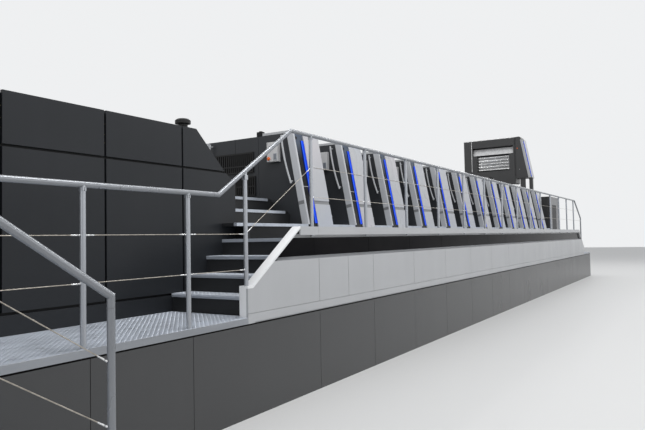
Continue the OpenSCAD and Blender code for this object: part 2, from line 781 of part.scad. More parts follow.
module footboards() {
    color(steel) place()
        for (n = [1:unit_count])
            span(unit_x(n) + unit_len, unit_x(n + 1), step_y + nosing_w, plant_w - step_y - nosing_w,
                housing_z, gallery_z + riser);
}

// The tower's dark cabinet: sloped at the operator side, with a guard below and a window in its face.
module tower_body() {
    x = unit_x(tower_unit);
    color(dark) place() difference() {
        along_x(x, x + tower_len)
            polygon([on_cover(tower_z, cover_t), on_cover(tower_side_top, cover_t),
                [cover_y(tower_top) + 3*cover_t, tower_top], [tower_y + tower_w, tower_top],
                [tower_y + tower_w, tower_z + 217], [tower_y + 770, tower_z + 77], [tower_y + 770, tower_z - 3],
                [tower_y + 600, tower_z - 113], [tower_y + 60, tower_z - 175], [tower_y + 16, tower_z - 153],
                [tower_y + 16, tower_z]]);
        span(x - seam_d, x + 4*seam_d, tower_y, tower_y + 55, tower_z + 20, tower_top + seam_d);
        span(x - seam_d, x + tower_window_d, window_y, window_y + window_w, window_z + 550, window_z + 825);
        span(x - seam_d, x + tower_window_d, window_y + roller_in, window_y + window_w - roller_in,
            window_z, window_z + 560);
    }
}

module tower_side_covers() {
    x = unit_x(tower_unit);
    color(light) place() {
        corner_strip(x, tower_z, tower_side_top, tower_strip_w);
        along_x(x + wide_x, x + tower_len)
            polygon([on_cover(tower_z, 0), on_cover(tower_side_top, 0), on_cover(tower_side_top, cover_t - skin),
                on_cover(tower_z, cover_t - skin)]);
    }
}

// The bright sheet that slants back in the top of the tower's window.
module tower_guide_plate() {
    x = unit_x(tower_unit);
    color(steel) place()
        along_y(window_y + skin, window_y + window_w - skin)
            polygon([[x + 60, window_z + 570], [x + 140, window_z + 790], [x + 152, window_z + 786],
                [x + 72, window_z + 566]]);
}

module tower_rollers() {
    x = unit_x(tower_unit) + tower_window_d/2;
    color(steel) place()
        for (i = [0:4])
            rod([x, window_y + roller_in + skin, window_z + 60 + i*105],
                [x, window_y + window_w - roller_in - skin, window_z + 60 + i*105], roller_d);
}

// Feet between the unit's roof and the tower, a light plate beside them and a block on the guard.
module tower_posts() {
    x = unit_x(tower_unit);
    color(dark) place() {
        span(x + 60, x + 160, roof_y + 52, roof_y + 147, unit_top, tower_z - skin);
        span(x + 340, x + 440, roof_y + 130, roof_y + 225, unit_top, tower_z - skin);
        for (i = [60, 340])
            span(x + i, x + i + 100, tower_y + 900, tower_y + 995, unit_top, tower_z + 77 + 130*0.14 - skin);
        span(x + 40, x + 52, roof_y + 270, roof_y + 443, unit_top, tower_z - skin);
        span(x - 60, x - skin, tower_y + 17, tower_y + 185, tower_z - 199, tower_z - 87);
    }
}

module feeder_housing() {
    color(dark) place()
        span(feeder_x, feeder_end, bed_y, plant_w - bed_y, housing_z, feeder_top);
}

// The hatch's outline in the feeder's side, grown by a margin.
module hatch(margin, y0, y1) {
    span(feeder_x + 311 - margin, feeder_x + 311 + hatch_len + margin, y0, y1, hatch_foot - margin,
        hatch_top + margin);
}

module feeder_side_panels() {
    color(light) place() both_sides() difference() {
        span(feeder_x, feeder_end, gallery_w, bed_y - skin, cover_foot, feeder_top);
        hatch(panel_gap, gallery_w - cover_t, bed_y + cover_t);
    }
}

module feeder_hatches() {
    color(black) place() both_sides() hatch(0, gallery_w + 4, bed_y - skin);
}

// The pile station's side frames, open in the middle, with a cross bar at each end.
module feeder_pile_frame() {
    x1 = plant_x1 - 250;
    color(dark) place() {
        both_sides()
            along_y(delivery_y, delivery_y + frame_t)
                difference() {
                    polygon([[feeder_end + skin, deck_z], [feeder_end + skin, pile_top], [x1 - 220, pile_top],
                        [x1, pile_top - 180], [x1, deck_z]]);
                    polygon([[feeder_end + 130, deck_z + 110], [feeder_end + 130, pile_top - 160],
                        [x1 - 270, pile_top - 160], [x1 - 120, pile_top - 290], [x1 - 120, deck_z + 110]]);
                }
        for (x = [feeder_end + 40, x1 - 100])
            span(x, x + 60, delivery_y + frame_t - weld, plant_w - delivery_y - frame_t + weld,
                deck_z + 20, deck_z + 90);
    }
}

// The suction head over the pile, with a sloped back.
module feeder_head() {
    y0 = delivery_y + frame_t + skin;
    color(light) place()
        along_y(y0, plant_w - y0)
            polygon([[feeder_end + skin, pile_top - 150], [feeder_end + skin, pile_top + 60],
                [feeder_end + 360, pile_top + 60], [feeder_end + 520, pile_top - 60], [feeder_end + 520, pile_top - 150]]);
}

machine_bed();
support_frames();
plinth_panels();
walkway_decks();
fascia_panels();
fascia_base_rails();
fascia_ledges();
window_strips();
toe_boards();
gallery_decks();
gallery_stairs();
step_nosings();
stair_parapets();
handrails();
rail_posts();
rail_cables();
access_stairs();
delivery_body();
delivery_panels();
delivery_vent_cap();
cross_steps();
for (n = [1:unit_count]) press_unit(n);
narrow_covers();
slot_panels();
light_strips();
wide_covers();
grab_bars();
control_boxes();
louvre_grilles();
roof_bars();
roof_fittings();
footboards();
tower_body();
tower_side_covers();
tower_guide_plate();
tower_rollers();
tower_posts();
feeder_housing();
feeder_side_panels();
feeder_hatches();
feeder_pile_frame();
feeder_head();
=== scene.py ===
import json
import math

import bpy
from mathutils import Matrix, Vector


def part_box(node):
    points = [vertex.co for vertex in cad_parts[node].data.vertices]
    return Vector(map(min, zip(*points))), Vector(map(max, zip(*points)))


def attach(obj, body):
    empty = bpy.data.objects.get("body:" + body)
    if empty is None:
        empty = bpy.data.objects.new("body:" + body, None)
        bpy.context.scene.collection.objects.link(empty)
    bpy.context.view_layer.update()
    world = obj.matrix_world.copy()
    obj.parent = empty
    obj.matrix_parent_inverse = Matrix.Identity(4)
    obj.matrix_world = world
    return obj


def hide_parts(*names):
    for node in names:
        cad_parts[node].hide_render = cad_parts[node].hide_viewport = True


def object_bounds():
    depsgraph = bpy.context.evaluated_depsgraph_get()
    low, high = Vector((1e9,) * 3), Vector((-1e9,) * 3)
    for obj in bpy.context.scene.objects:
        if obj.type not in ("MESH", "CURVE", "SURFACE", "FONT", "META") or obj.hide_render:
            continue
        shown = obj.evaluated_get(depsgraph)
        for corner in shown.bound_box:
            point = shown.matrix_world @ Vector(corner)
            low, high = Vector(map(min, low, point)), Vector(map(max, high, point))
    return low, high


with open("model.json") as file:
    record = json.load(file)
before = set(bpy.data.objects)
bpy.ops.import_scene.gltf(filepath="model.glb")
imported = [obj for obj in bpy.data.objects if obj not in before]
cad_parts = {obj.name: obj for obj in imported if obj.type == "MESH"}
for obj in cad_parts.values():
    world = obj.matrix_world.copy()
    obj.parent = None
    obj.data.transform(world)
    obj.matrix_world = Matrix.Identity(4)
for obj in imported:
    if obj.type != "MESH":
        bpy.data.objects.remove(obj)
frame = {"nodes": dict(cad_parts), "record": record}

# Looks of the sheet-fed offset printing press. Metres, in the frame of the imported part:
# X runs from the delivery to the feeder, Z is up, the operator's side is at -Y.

CAD_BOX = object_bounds()
NODES = frame["nodes"]

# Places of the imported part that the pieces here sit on.
LOW, HIGH = CAD_BOX
EDGE_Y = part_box("plinth_panels")[0][1]
CORNER_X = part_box("stair_parapets")[0][0] - 0.062
PLINTH_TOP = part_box("plinth_panels")[1][2]
DECK_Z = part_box("walkway_decks")[1][2]
GALLERY_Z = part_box("gallery_decks")[1][2]
DELIVERY_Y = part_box("delivery_panels")[0][1]
RISER = (GALLERY_Z - DECK_Z)/4
BED_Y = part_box("machine_bed")[0][1]
FEEDER_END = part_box("feeder_housing")[1][0]

# The pitch of the units and of the gallery's bays, and the delivery's bays.
PITCH = 1.25
BAYS = 15
BAY = 0.947
FASCIA_LEN = BAYS*PITCH
DELIVERY_SEAMS = [LOW[0] + i*BAY for i in range(1, 6)]

# The gallery stair.
STAIR_IN = 0.158
STAIR_X = CORNER_X + STAIR_IN
GOING = 0.251
PARAPET_W = 0.100

# Printing units and the faces of their covers.
UNITS = 12
UNIT_LEN = 0.595
UNIT_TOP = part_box("unit_01")[1][2]
UNIT_X = [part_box("unit_%02d" % n)[0][0] for n in range(1, UNITS + 1)]
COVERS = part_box("wide_covers")
COVER_SLOPE = math.radians(10.5)
STRIP_OUT = 0.012
STRIP_W = 0.105
SLOT_W = 0.140
WIDE_X = 0.215
SKIN = 0.0003
COVER_FOOT = GALLERY_Z + 0.015
COVER_TOP = UNIT_TOP - 0.005
SLOT_D = 0.014

# Railing: heights and posts, from the gallery corner.
CABLES = (0.428, 0.748)
RAIL_H = 1.085
POST_R = 0.020
TUBE_R = 0.021
RAIL_IN = 0.042
FIRST_POST = 1.190
POST_STEP = 15.857/13
POSTS = 14
WALK_POSTS = (-1.592, -0.628)
STAIR_POST = 0.092
ACCESS_X = -3.136
ACCESS_GOING = 0.275
LANDING_X = -4.086
ACCESS_W = 0.95
ACCESS_POST = -2.122
ACCESS_POST_Z = 1.306
ACCESS_RISE = DECK_Z/5
OUTER_POST = ACCESS_X - 0.060
KINK_LOW, KINK_HIGH = -0.260, 0.829
FAR_KINK = FASCIA_LEN - 1.453
FAR_POST = FASCIA_LEN - 0.340
FAR_DROP = 0.565
END_POST = LOW[0] - CORNER_X + 0.060
RAIL_Y = EDGE_Y + RAIL_IN
OUTER_Y = RAIL_Y - ACCESS_W

# The parapet's sloped cap, and the glass strip behind the fascia.
CAP_FLAT, CAP_FLAT_X, CAP_T = 1.160, 0.137, 0.022
CAP_SLOPE = 0.540/0.774
LEDGE_TOP = 1.396
GLASS_IN, GLASS_T = 0.060, 0.008

# The camera, fitted to the straight edges of the photograph.
PHOTO_W = 645
FOCAL_PX = 596.2157
SENSOR = 36.0
CAMERA_AT = Vector((-11.8913, -5.2582, 1.5722))
YAW, PITCH_ANGLE, ROLL = 0.5602, 0.0394, -0.0199


def make_camera():
    level = math.cos(PITCH_ANGLE)
    forward = Vector((math.cos(YAW)*level, math.sin(YAW)*level, math.sin(PITCH_ANGLE)))
    side = Vector((math.sin(YAW), -math.cos(YAW), 0.0))
    up = side.cross(forward)
    right = side*math.cos(ROLL) + up*math.sin(ROLL)
    top = up*math.cos(ROLL) - side*math.sin(ROLL)
    data = bpy.data.cameras.new("camera")
    data.sensor_fit = "HORIZONTAL"
    data.sensor_width = SENSOR
    data.lens = SENSOR*FOCAL_PX/PHOTO_W
    data.clip_end = 200.0
    camera = bpy.data.objects.new("camera", data)
    turn = Matrix((right, top, -forward)).transposed().to_4x4()
    camera.matrix_world = Matrix.Translation(CAMERA_AT) @ turn
    bpy.context.scene.collection.objects.link(camera)
    bpy.context.scene.camera = camera


# Materials. Each look is one Principled shader and the nodes that feed it.

LOOKS = {}


class Look:
    """One material, which LOOKS keeps under its name."""

    def __init__(self, name, metallic=0.0, roughness=0.5, **sockets):
        self.material = bpy.data.materials.new(name)
        self.material.use_nodes = True
        self.tree = self.material.node_tree
        self.shader = self.tree.nodes["Principled BSDF"]
        self.shader.inputs["Metallic"].default_value = metallic
        self.shader.inputs["Roughness"].default_value = roughness
        for socket, value in sockets.items():
            self.shader.inputs[socket.replace("_", " ")].default_value = value
        self.place = self.add("ShaderNodeTexCoord").outputs["Object"]
        self.height = None
        LOOKS[name] = self

    def add(self, kind, **settings):
        node = self.tree.nodes.new(kind)
        for key, value in settings.items():
            setattr(node, key, value)
        return node

    def feed(self, node, socket, value):
        """Links a socket, or sets it where the value is a plain one."""
        if isinstance(value, bpy.types.NodeSocket):
            self.tree.links.new(value, node.inputs[socket])
        else:
            node.inputs[socket].default_value = value

    def stretch(self, scale):
        node = self.add("ShaderNodeMapping")
        self.feed(node, "Vector", self.place)
        self.feed(node, "Scale", scale)
        return node.outputs["Vector"]

    def axes(self):
        """The place's X, Y and Z, as three values."""
        node = self.add("ShaderNodeSeparateXYZ")
        self.feed(node, "Vector", self.place)
        return [node.outputs[axis] for axis in "XYZ"]

    def noise(self, scale, detail=3.0, stretch=(1, 1, 1)):
        node = self.add("ShaderNodeTexNoise")
        self.feed(node, "Vector", self.stretch(stretch))
        self.feed(node, "Scale", scale)
        self.feed(node, "Detail", detail)
        return node.outputs["Fac"]

    def ramp(self, factor, *stops):
        """Colours along a factor: each stop is a position and a colour."""
        node = self.add("ShaderNodeValToRGB")
        self.feed(node, "Fac", factor)
        elements = node.color_ramp.elements
        while len(elements) < len(stops):
            elements.new(0.5)
        for element, (position, color) in zip(elements, stops):
            element.position = position
            element.color = (*color, 1.0)
        return node.outputs["Color"]

    def math(self, operation, a, b=0.0):
        node = self.add("ShaderNodeMath", operation=operation)
        self.feed(node, 0, a)
        self.feed(node, 1, b)
        return node.outputs["Value"]

    def mix(self, factor, a, b):
        node = self.add("ShaderNodeMix", data_type="RGBA")
        self.feed(node, 0, factor)
        self.feed(node, 6, a)
        self.feed(node, 7, b)
        return node.outputs[2]

    def color(self, factor, low, high, start=0.3, stop=0.7):
        self.feed(self.shader, "Base Color", self.ramp(factor, (start, low), (stop, high)))

    def rough(self, factor, low, high, start=0.3, stop=0.7):
        self.feed(self.shader, "Roughness", self.ramp(factor, (start, (low,)*3), (stop, (high,)*3)))

    def bump(self, height, strength, distance):
        """Adds a layer of bump over the ones before it."""
        node = self.add("ShaderNodeBump")
        self.feed(node, "Height", height)
        self.feed(node, "Strength", strength)
        self.feed(node, "Distance", distance)
        if self.height:
            self.feed(node, "Normal", self.height)
        self.height = node.outputs["Normal"]
        self.feed(self.shader, "Normal", self.height)


def grey(level, tint=0.0):
    """A grey with a slight blue tint."""
    return (level*(1 - tint), level, level*(1 + 1.6*tint))


def coat_surface(look, roughness, wipe=0.06, peel=0.12):
    """Wiped roughness, orange peel and slight waves."""
    look.rough(look.noise(2.1, 5.0, (1, 1, 0.35)), roughness - wipe, roughness + wipe)
    look.bump(look.noise(420.0, 2.0), peel, 0.0006)
    look.bump(look.noise(1.1, 1.0), 0.04, 0.003)


def powder_coat(name, level, tint, roughness, spread=0.06, specular=0.5, wipe=0.06, peel=0.12):
    """Powder-coated sheet steel: fine orange peel, cloudy tone, wiped roughness and faint streaks."""
    look = Look(name, Specular_IOR_Level=specular)
    cloud = look.noise(1.3, 4.0)
    streak = look.noise(7.0, 3.0, (1, 1, 0.06))
    tone = look.math("ADD", look.math("MULTIPLY", cloud, 0.7), look.math("MULTIPLY", streak, 0.3))
    look.color(tone, grey(level*(1 - spread), tint), grey(level*(1 + spread), tint), 0.35, 0.65)
    coat_surface(look, roughness, wipe, peel)
    return look


def worn_metal(name, low, high, metallic, rough_low, rough_high, scale=3.0, stretch=(1, 1, 1)):
    """Bare metal: patches of tone, brushed bump, and scuffs that change its roughness."""
    look = Look(name, metallic=metallic)
    look.color(look.noise(scale, 6.0, stretch), low, high)
    look.rough(look.noise(scale*3, 6.0, stretch), rough_low, rough_high)
    look.bump(look.noise(scale*60, 3.0, stretch), 0.15, 0.0005)
    return look


def tread_pattern(look, pitch):
    """Raised lozenges that lean one way and the other in turn, as bump."""
    x, y, _ = look.axes()
    turned = []
    for sign in (1, -1):
        along = look.math("ADD", x, look.math("MULTIPLY", y, sign))
        across = look.math("SUBTRACT", y, look.math("MULTIPLY", x, sign))
        cell_a = look.math("PINGPONG", along, pitch)
        cell_b = look.math("PINGPONG", across, pitch*0.36)
        turned.append(look.math("MULTIPLY", cell_a, cell_b))
    crest = look.math("MAXIMUM", turned[0], turned[1])
    look.bump(look.math("MULTIPLY", crest, 1/(pitch*pitch*0.36)), 0.5, 0.002)


# The light strip's glow from edge to edge: how far across, and the colour there.
LIT_W = 0.075
GLOW = (
    (0.0, (0.0, 0.003, 0.04)),
    (0.14, (0.001, 0.010, 0.14)),
    (0.24, (0.004, 0.050, 0.75)),
    (0.34, (0.080, 0.300, 1.0)),
    (0.45, (0.005, 0.058, 0.92)),
    (0.64, (0.002, 0.030, 0.66)),
    (0.76, (0.016, 0.120, 1.0)),
    (0.87, (0.001, 0.018, 0.36)),
    (1.0, (0.0, 0.005, 0.07)),
)


def light_strip_look(name, slot_w):
    """A lit blue strip with a bright core that wanders, and dark edges."""
    look = Look(name, roughness=0.25, Specular_IOR_Level=0.03)
    along = look.math("SUBTRACT", look.axes()[0], UNIT_X[0] - 4*PITCH)
    across = look.math("MODULO", along, PITCH)
    wander = look.math("MULTIPLY", look.math("SUBTRACT", look.noise(3.0, 2.0), 0.5), 0.022)
    place = look.math("SUBTRACT", look.math("ADD", across, wander), slot_w)
    core = look.math("MULTIPLY", place, 1/LIT_W)
    look.color(core, (0.001, 0.006, 0.06), (0.004, 0.02, 0.30), 0.0, 1.0)
    glow = look.ramp(core, *GLOW)
    dim = look.ramp(look.noise(9.0, 2.0, (1, 1, 0.5)), (0.35, (0.72,)*3), (0.60, (1.0,)*3))
    look.feed(look.shader, "Emission Color", look.mix(dim, (0.0, 0.008, 0.22, 1.0), glow))
    look.shader.inputs["Emission Strength"].default_value = 0.9


def make_panel_paints():
    powder_coat("dark_panel", 0.021, 0.09, 0.40, specular=0.20)
    powder_coat("plinth_panel", 0.050, 0.02, 0.26, spread=0.02, wipe=0.015)
    powder_coat("black_frame", 0.008, 0.04, 0.55, specular=0.2)
    powder_coat("light_panel", 0.44, 0.018, 0.36, spread=0.03)
    powder_coat("parapet_white", 0.80, 0.006, 0.34, spread=0.02)
    # A lighter copy of light_panel for the narrow covers, which face the delivery: painted light on those
    # faces.
    powder_coat("light_panel_lit_copy", 0.49, 0.025, 0.34, spread=0.03)
    powder_coat("grab_grey", 0.45, 0.02, 0.28, spread=0.02)
    powder_coat("box_white", 0.56, 0.0, 0.34, spread=0.02)
    powder_coat("step_dark", 0.018, 0.05, 0.45, specular=0.3)
    powder_coat("grille_black", 0.010, 0.0, 0.5, specular=0.3)
    powder_coat("shadow_black", 0.003, 0.0, 0.6, specular=0.05)
    powder_coat("feeder_grey", 0.17, 0.02, 0.38, spread=0.04)
    powder_coat("tower_grey", 0.046, 0.01, 0.34, specular=0.4)
    # A lighter copy of dark_panel for the units, whose walls face the delivery: painted light on those
    # walls.
    powder_coat("unit_dark", 0.034, 0.07, 0.38, specular=0.28)
    powder_coat("ledge_grey", 0.24, 0.03, 0.36, spread=0.04)


def make_rail_paints():
    """Smooth metallic paint, in a lighter copy for the posts and their brackets than for the handrails:
    painted light on the posts from the operator's side.
    """
    for name, level in (("rail_paint", 0.26), ("rail_paint_lit_copy", 0.38)):
        look = powder_coat(name, level, 0.045, 0.27, spread=0.03, specular=0.6, wipe=0.02, peel=0.02)
        look.shader.inputs["Metallic"].default_value = 0.55


def make_cover_paint():
    """The units' light covers: plain grey paint, with painted reflections of the hall and the light strips
    in bluish and rosy greys in wide clouds.
    """
    look = Look("cover_paint_and_painted_reflections")
    cloud = look.math("MULTIPLY", look.noise(0.8, 2.0), 0.8)
    streak = look.math("MULTIPLY", look.noise(6.0, 3.0, (1, 1, 0.1)), 0.2)
    tone = look.ramp(look.math("ADD", cloud, streak), (0.34, (0.395, 0.415, 0.460)),
                     (0.50, (0.425, 0.435, 0.455)), (0.66, (0.470, 0.455, 0.475)))
    look.feed(look.shader, "Base Color", tone)
    coat_surface(look, 0.30)


def make_deck_looks():
    """The aluminium of the decks and treads, and of the nosings and edges."""
    for name in ("deck_plain", "deck_plate"):
        look = worn_metal(name, grey(0.44, 0.07), grey(0.62, 0.07), 0.3, 0.26, 0.42)
    tread_pattern(look, TREAD_PITCH)
    worn_metal("nosing_metal", grey(0.42, 0.07), grey(0.54, 0.07), 0.4, 0.28, 0.42, 9.0, (1, 0.1, 1))
    worn_metal("edge_grey", grey(0.26, 0.05), grey(0.36, 0.05), 0.3, 0.28, 0.42, 4.0, (0.2, 1, 1))
    worn_metal("tread_metal", grey(0.52, 0.06), grey(0.70, 0.06), 0.3, 0.30, 0.46, 9.0)


def make_bare_metals():
    worn_metal("cable_steel", (0.30, 0.27, 0.23), (0.50, 0.46, 0.40), 0.7, 0.25, 0.4, 40.0)
    worn_metal("roller_steel", grey(0.45), grey(0.78), 1.0, 0.10, 0.26, 20.0, (1, 0.04, 1))
    worn_metal("guide_bright", grey(0.66), grey(0.80), 0.2, 0.22, 0.34, 12.0)
    worn_metal("bright_steel", grey(0.62), grey(0.82), 0.9, 0.18, 0.32, 30.0)
    worn_metal("screw_steel", grey(0.05), grey(0.12), 0.8, 0.3, 0.45, 50.0)
    worn_metal("brass", (0.35, 0.26, 0.12), (0.50, 0.38, 0.18), 0.9, 0.25, 0.4, 50.0)


def make_black_glass():
    glass = Look("black_glass", Specular_IOR_Level=0.012)
    glass.color(glass.noise(0.8, 3.0), (0.007, 0.007, 0.008), (0.016, 0.015, 0.016))
    glass.rough(glass.noise(4.0, 4.0), 0.04, 0.10)
    glass.bump(glass.noise(0.9, 1.0), 0.05, 0.003)


def make_slot_gloss():
    """The slots' glossy floor, black below, with a painted reflection of the hall in blue grey towards the
    top.
    """
    slot = Look("slot_gloss_and_painted_reflection", Specular_IOR_Level=0.10)
    height = slot.math("ADD", slot.axes()[2], slot.math("MULTIPLY", slot.noise(1.5, 2.0), 0.25))
    # Painted reflection: blue grey over this height.
    above = slot.math("SUBTRACT", height, 2.0)
    slot.color(above, (0.006, 0.006, 0.007), (0.075, 0.095, 0.130), 0.75, 1.0)
    slot.rough(slot.noise(4.0, 4.0), 0.10, 0.22)
    slot.bump(slot.noise(0.9, 1.0), 0.05, 0.003)


def make_small_paints():
    """The grey of the painted shade in the grip grooves, displays, dials, and the orange of the button and
    the lamp.
    """
    powder_coat("display_grey", 0.20, 0.08, 0.15, spread=0.1)
    powder_coat("grip_grey", 0.20, 0.02, 0.4, spread=0.04)
    powder_coat("dial_grey", 0.26, 0.03, 0.3, spread=0.04)
    orange = Look("signal_orange")
    orange.color(orange.noise(20.0), (0.70, 0.10, 0.01), (0.85, 0.16, 0.02))
    coat_surface(orange, 0.3)


def make_looks():
    make_panel_paints()
    make_rail_paints()
    make_cover_paint()
    make_deck_looks()
    make_bare_metals()
    make_black_glass()
    make_slot_gloss()
    make_small_paints()
    light_strip_look("light_strip", SLOT_W)
    light_strip_look("tower_strip", TOWER_SLOT_W)


def dress_nodes():
    """Gives every CAD node the look of its material slot."""
    # The narrow covers take a lighter copy of their paint: painted light on faces turned to the delivery.
    plain = {"walkway_decks": "deck_plain", "tower_guide_plate": "guide_bright", "tower_body": "tower_grey",
             "tower_posts": "tower_grey", "feeder_housing": "tower_grey", "narrow_covers": "light_panel_lit_copy"}
    # The units take a lighter copy of the dark panel paint: painted light on their walls.
    plain.update({"unit_%02d" % n: "unit_dark" for n in range(1, UNITS + 1)})
    for part in frame["record"]["subparts"]:
        mesh = NODES[part["node"]].data
        mesh.materials.clear()
        mesh.materials.append(LOOKS[plain.get(part["node"], part["material_slot"])].material)


# Shapes in mesh code.

class Shape:
    """Gathers vertices and faces, and becomes one piece."""

    def __init__(self):
        self.points = []
        self.faces = []
        self.smooth = []

    def add(self, points, faces, place=None, smooth=False):
        start = len(self.points)
        place = place or Matrix.Identity(4)
        self.points += [place @ Vector(point) for point in points]
        flip = place.determinant() < 0
        for face in faces:
            ring = [start + i for i in face]
            self.faces.append(ring[::-1] if flip else ring)
            self.smooth.append(smooth)

    def block(self, low, high, bevel=0.001, place=None):
        """A box with chamfered edges and corners."""
        low, high = Vector(low), Vector(high)
        points = []
        index = {}
        for corner in [(a, b, c) for a in (0, 1) for b in (0, 1) for c in (0, 1)]:
            for axis in range(3):
                point = [(low, high)[corner[i]][i] + (0 if i == axis else (bevel, -bevel)[corner[i]])
                         for i in range(3)]
                index[corner, axis] = len(points)
                points.append(point)
        faces = []
        for axis in range(3):
            b, c = (axis + 1) % 3, (axis + 2) % 3
            for side in (0, 1):
                ring = []
                for pair in ((0, 0), (1, 0), (1, 1), (0, 1)):
                    corner = [0, 0, 0]
                    corner[axis], corner[b], corner[c] = side, pair[0], pair[1]
                    ring.append(index[tuple(corner), axis])
                faces.append(ring if side else ring[::-1])
            for sb in (0, 1):
                for sc in (0, 1):
                    ends = []
                    for side in (0, 1):
                        corner = [0, 0, 0]
                        corner[axis], corner[b], corner[c] = side, sb, sc
                        ends.append(tuple(corner))
                    ring = [index[ends[0], b], index[ends[1], b], index[ends[1], c], index[ends[0], c]]
                    faces.append(ring[::-1] if sb == sc else ring)
        for corner in [(a, b, c) for a in (0, 1) for b in (0, 1) for c in (0, 1)]:
            ring = [index[corner, axis] for axis in range(3)]
            faces.append(ring if sum(corner) % 2 else ring[::-1])
        self.add(points, faces, place)

    def lathe(self, profile, place=None, segments=16):
        """Turns radius and height pairs round Z. A radius of 0 closes an end."""
        rings = []
        points = []
        for radius, height in profile:
            if radius == 0:
                rings.append([len(points)])
                points.append((0, 0, height))
                continue
            rings.append(list(range(len(points), len(points) + segments)))
            for i in range(segments):
                angle = 2*math.pi*i/segments
                points.append((radius*math.cos(angle), radius*math.sin(angle), height))
        faces = []
        for low, high in zip(rings, rings[1:]):
            for i in range(segments):
                j = (i + 1) % segments
                if len(low) == 1:
                    faces.append([low[0], high[j], high[i]])
                elif len(high) == 1:
                    faces.append([low[i], low[j], high[0]])
                else:
                    faces.append([low[i], low[j], high[j], high[i]])
        self.add(points, faces, place, smooth=True)

    def plate(self, outline, thickness, bevel, place=None):
        """A flat plate in X and Y, drawn out along Z, with a chamfer round its front."""
        inner = inset(outline, bevel)
        n = len(outline)
        points = [(x, y, 0) for x, y in outline] + [(x, y, thickness - bevel) for x, y in outline]
        points += [(x, y, thickness) for x, y in inner]
        faces = [list(range(n))[::-1], list(range(2*n, 3*n))]
        for i in range(n):
            j = (i + 1) % n
            faces.append([i, j, n + j, n + i])
            faces.append([n + i, n + j, 2*n + j, 2*n + i])
        self.add(points, faces, place)

    def prism(self, profile, start, stop, place=None):
        """A profile in Y and Z, drawn out along X."""
        area = sum(a[0]*b[1] - b[0]*a[1] for a, b in zip(profile, profile[1:] + profile[:1]))
        profile = profile if area > 0 else profile[::-1]
        n = len(profile)
        points = [(start, y, z) for y, z in profile] + [(stop, y, z) for y, z in profile]
        faces = [list(range(n))[::-1], list(range(n, 2*n))]
        faces += [[i, (i + 1) % n, n + (i + 1) % n, n + i] for i in range(n)]
        self.add(points, faces, place)

    def tube(self, path, radius, place=None, segments=20):
        """A round tube along a path in X and Z, with sharp mitred corners."""
        path = [Vector(point) for point in path]
        ways = [(b - a).normalized() for a, b in zip(path, path[1:])]
        y = Vector((0, 1, 0))
        leans = []
        for before, after in zip([ways[0]] + ways, ways + [ways[-1]]):
            one, two = before.cross(y), after.cross(y)
            leans.append((one + two)/(1 + one.dot(two)))
        for i in range(len(ways)):
            points = []
            for end in (i, i + 1):
                for k in range(segments):
                    angle = 2*math.pi*k/segments
                    out = y*(radius*math.cos(angle)) + leans[end]*(radius*math.sin(angle))
                    points.append(path[end] + out)
            faces = []
            for k in range(segments):
                j = (k + 1) % segments
                faces.append([k, segments + k, segments + j, j])
            self.add(points, faces, place, smooth=True)

    def piece(self, name, look, slot, replaces=None):
        mesh = bpy.data.meshes.new(name)
        mesh.from_pydata(self.points, [], self.faces)
        mesh.polygons.foreach_set("use_smooth", self.smooth)
        mesh.materials.append(LOOKS[look].material)
        mesh.update()
        made = bpy.data.objects.new(name, mesh)
        bpy.context.scene.collection.objects.link(made)
        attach(made, "root")
        if replaces:
            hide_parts(replaces)


def inset(outline, depth):
    """An outline moved inwards. Its corners turn to the left."""
    moved = []
    for i, here in enumerate(outline):
        before = Vector(outline[i - 1])
        after = Vector(outline[(i + 1) % len(outline)])
        here = Vector(here)
        a = (here - before).normalized()
        b = (after - here).normalized()
        normal = Vector((-a.y, a.x)) + Vector((-b.y, b.x))
        moved.append(tuple(here + normal*depth/(1 + a.dot(b))))
    return moved


OPERATOR = Matrix.Identity(4)
DRIVE = Matrix.Diagonal((1, -1, 1, 1))
BOTH_SIDES = (OPERATOR, DRIVE)
ACROSS = Matrix(((0, 1, 0, 0), (1, 0, 0, 0), (0, 0, 1, 0), (0, 0, 0, 1)))
UPWARD = Matrix(((0, 1, 0, 0), (0, 0, 1, 0), (1, 0, 0, 0), (0, 0, 0, 1)))
FACING_OPERATOR = Matrix.Rotation(math.pi/2, 4, "X")


def rectangle(x0, y0, x1, y1):
    return [(x0, y0), (x1, y0), (x1, y1), (x0, y1)]


def at(x, y, z):
    return Matrix.Translation((x, y, z))


def facing_delivery(x, y, z):
    """A plane whose X runs to the drive side, whose Y runs up and whose Z faces the delivery."""
    return at(x, y, z) @ Matrix(((0, 0, -1, 0), (1, 0, 0, 0), (0, 1, 0, 0), (0, 0, 0, 1)))


def cover_y(z):
    """The side covers' face on the operator's side, at a height."""
    return COVERS[0][1] + (z - COVERS[0][2])*math.tan(COVER_SLOPE)


def on_slope(x, z):
    """X along the press, Y into the machine and Z up the slope of the covers."""
    return at(x, cover_y(z), z) @ Matrix.Rotation(-COVER_SLOPE, 4, "X")


# Tread plate: raised lozenges in a grid, leaning one way and the other in turn.

TREAD_PITCH = 0.025
LOZENGE = (0.0132, 0.0044, 0.0018)
LOZENGE_CREST = 0.55
LOZENGE_SUNK = 0.0002
TREAD_MARGIN = 0.012
TREAD_SHEET = 0.0016


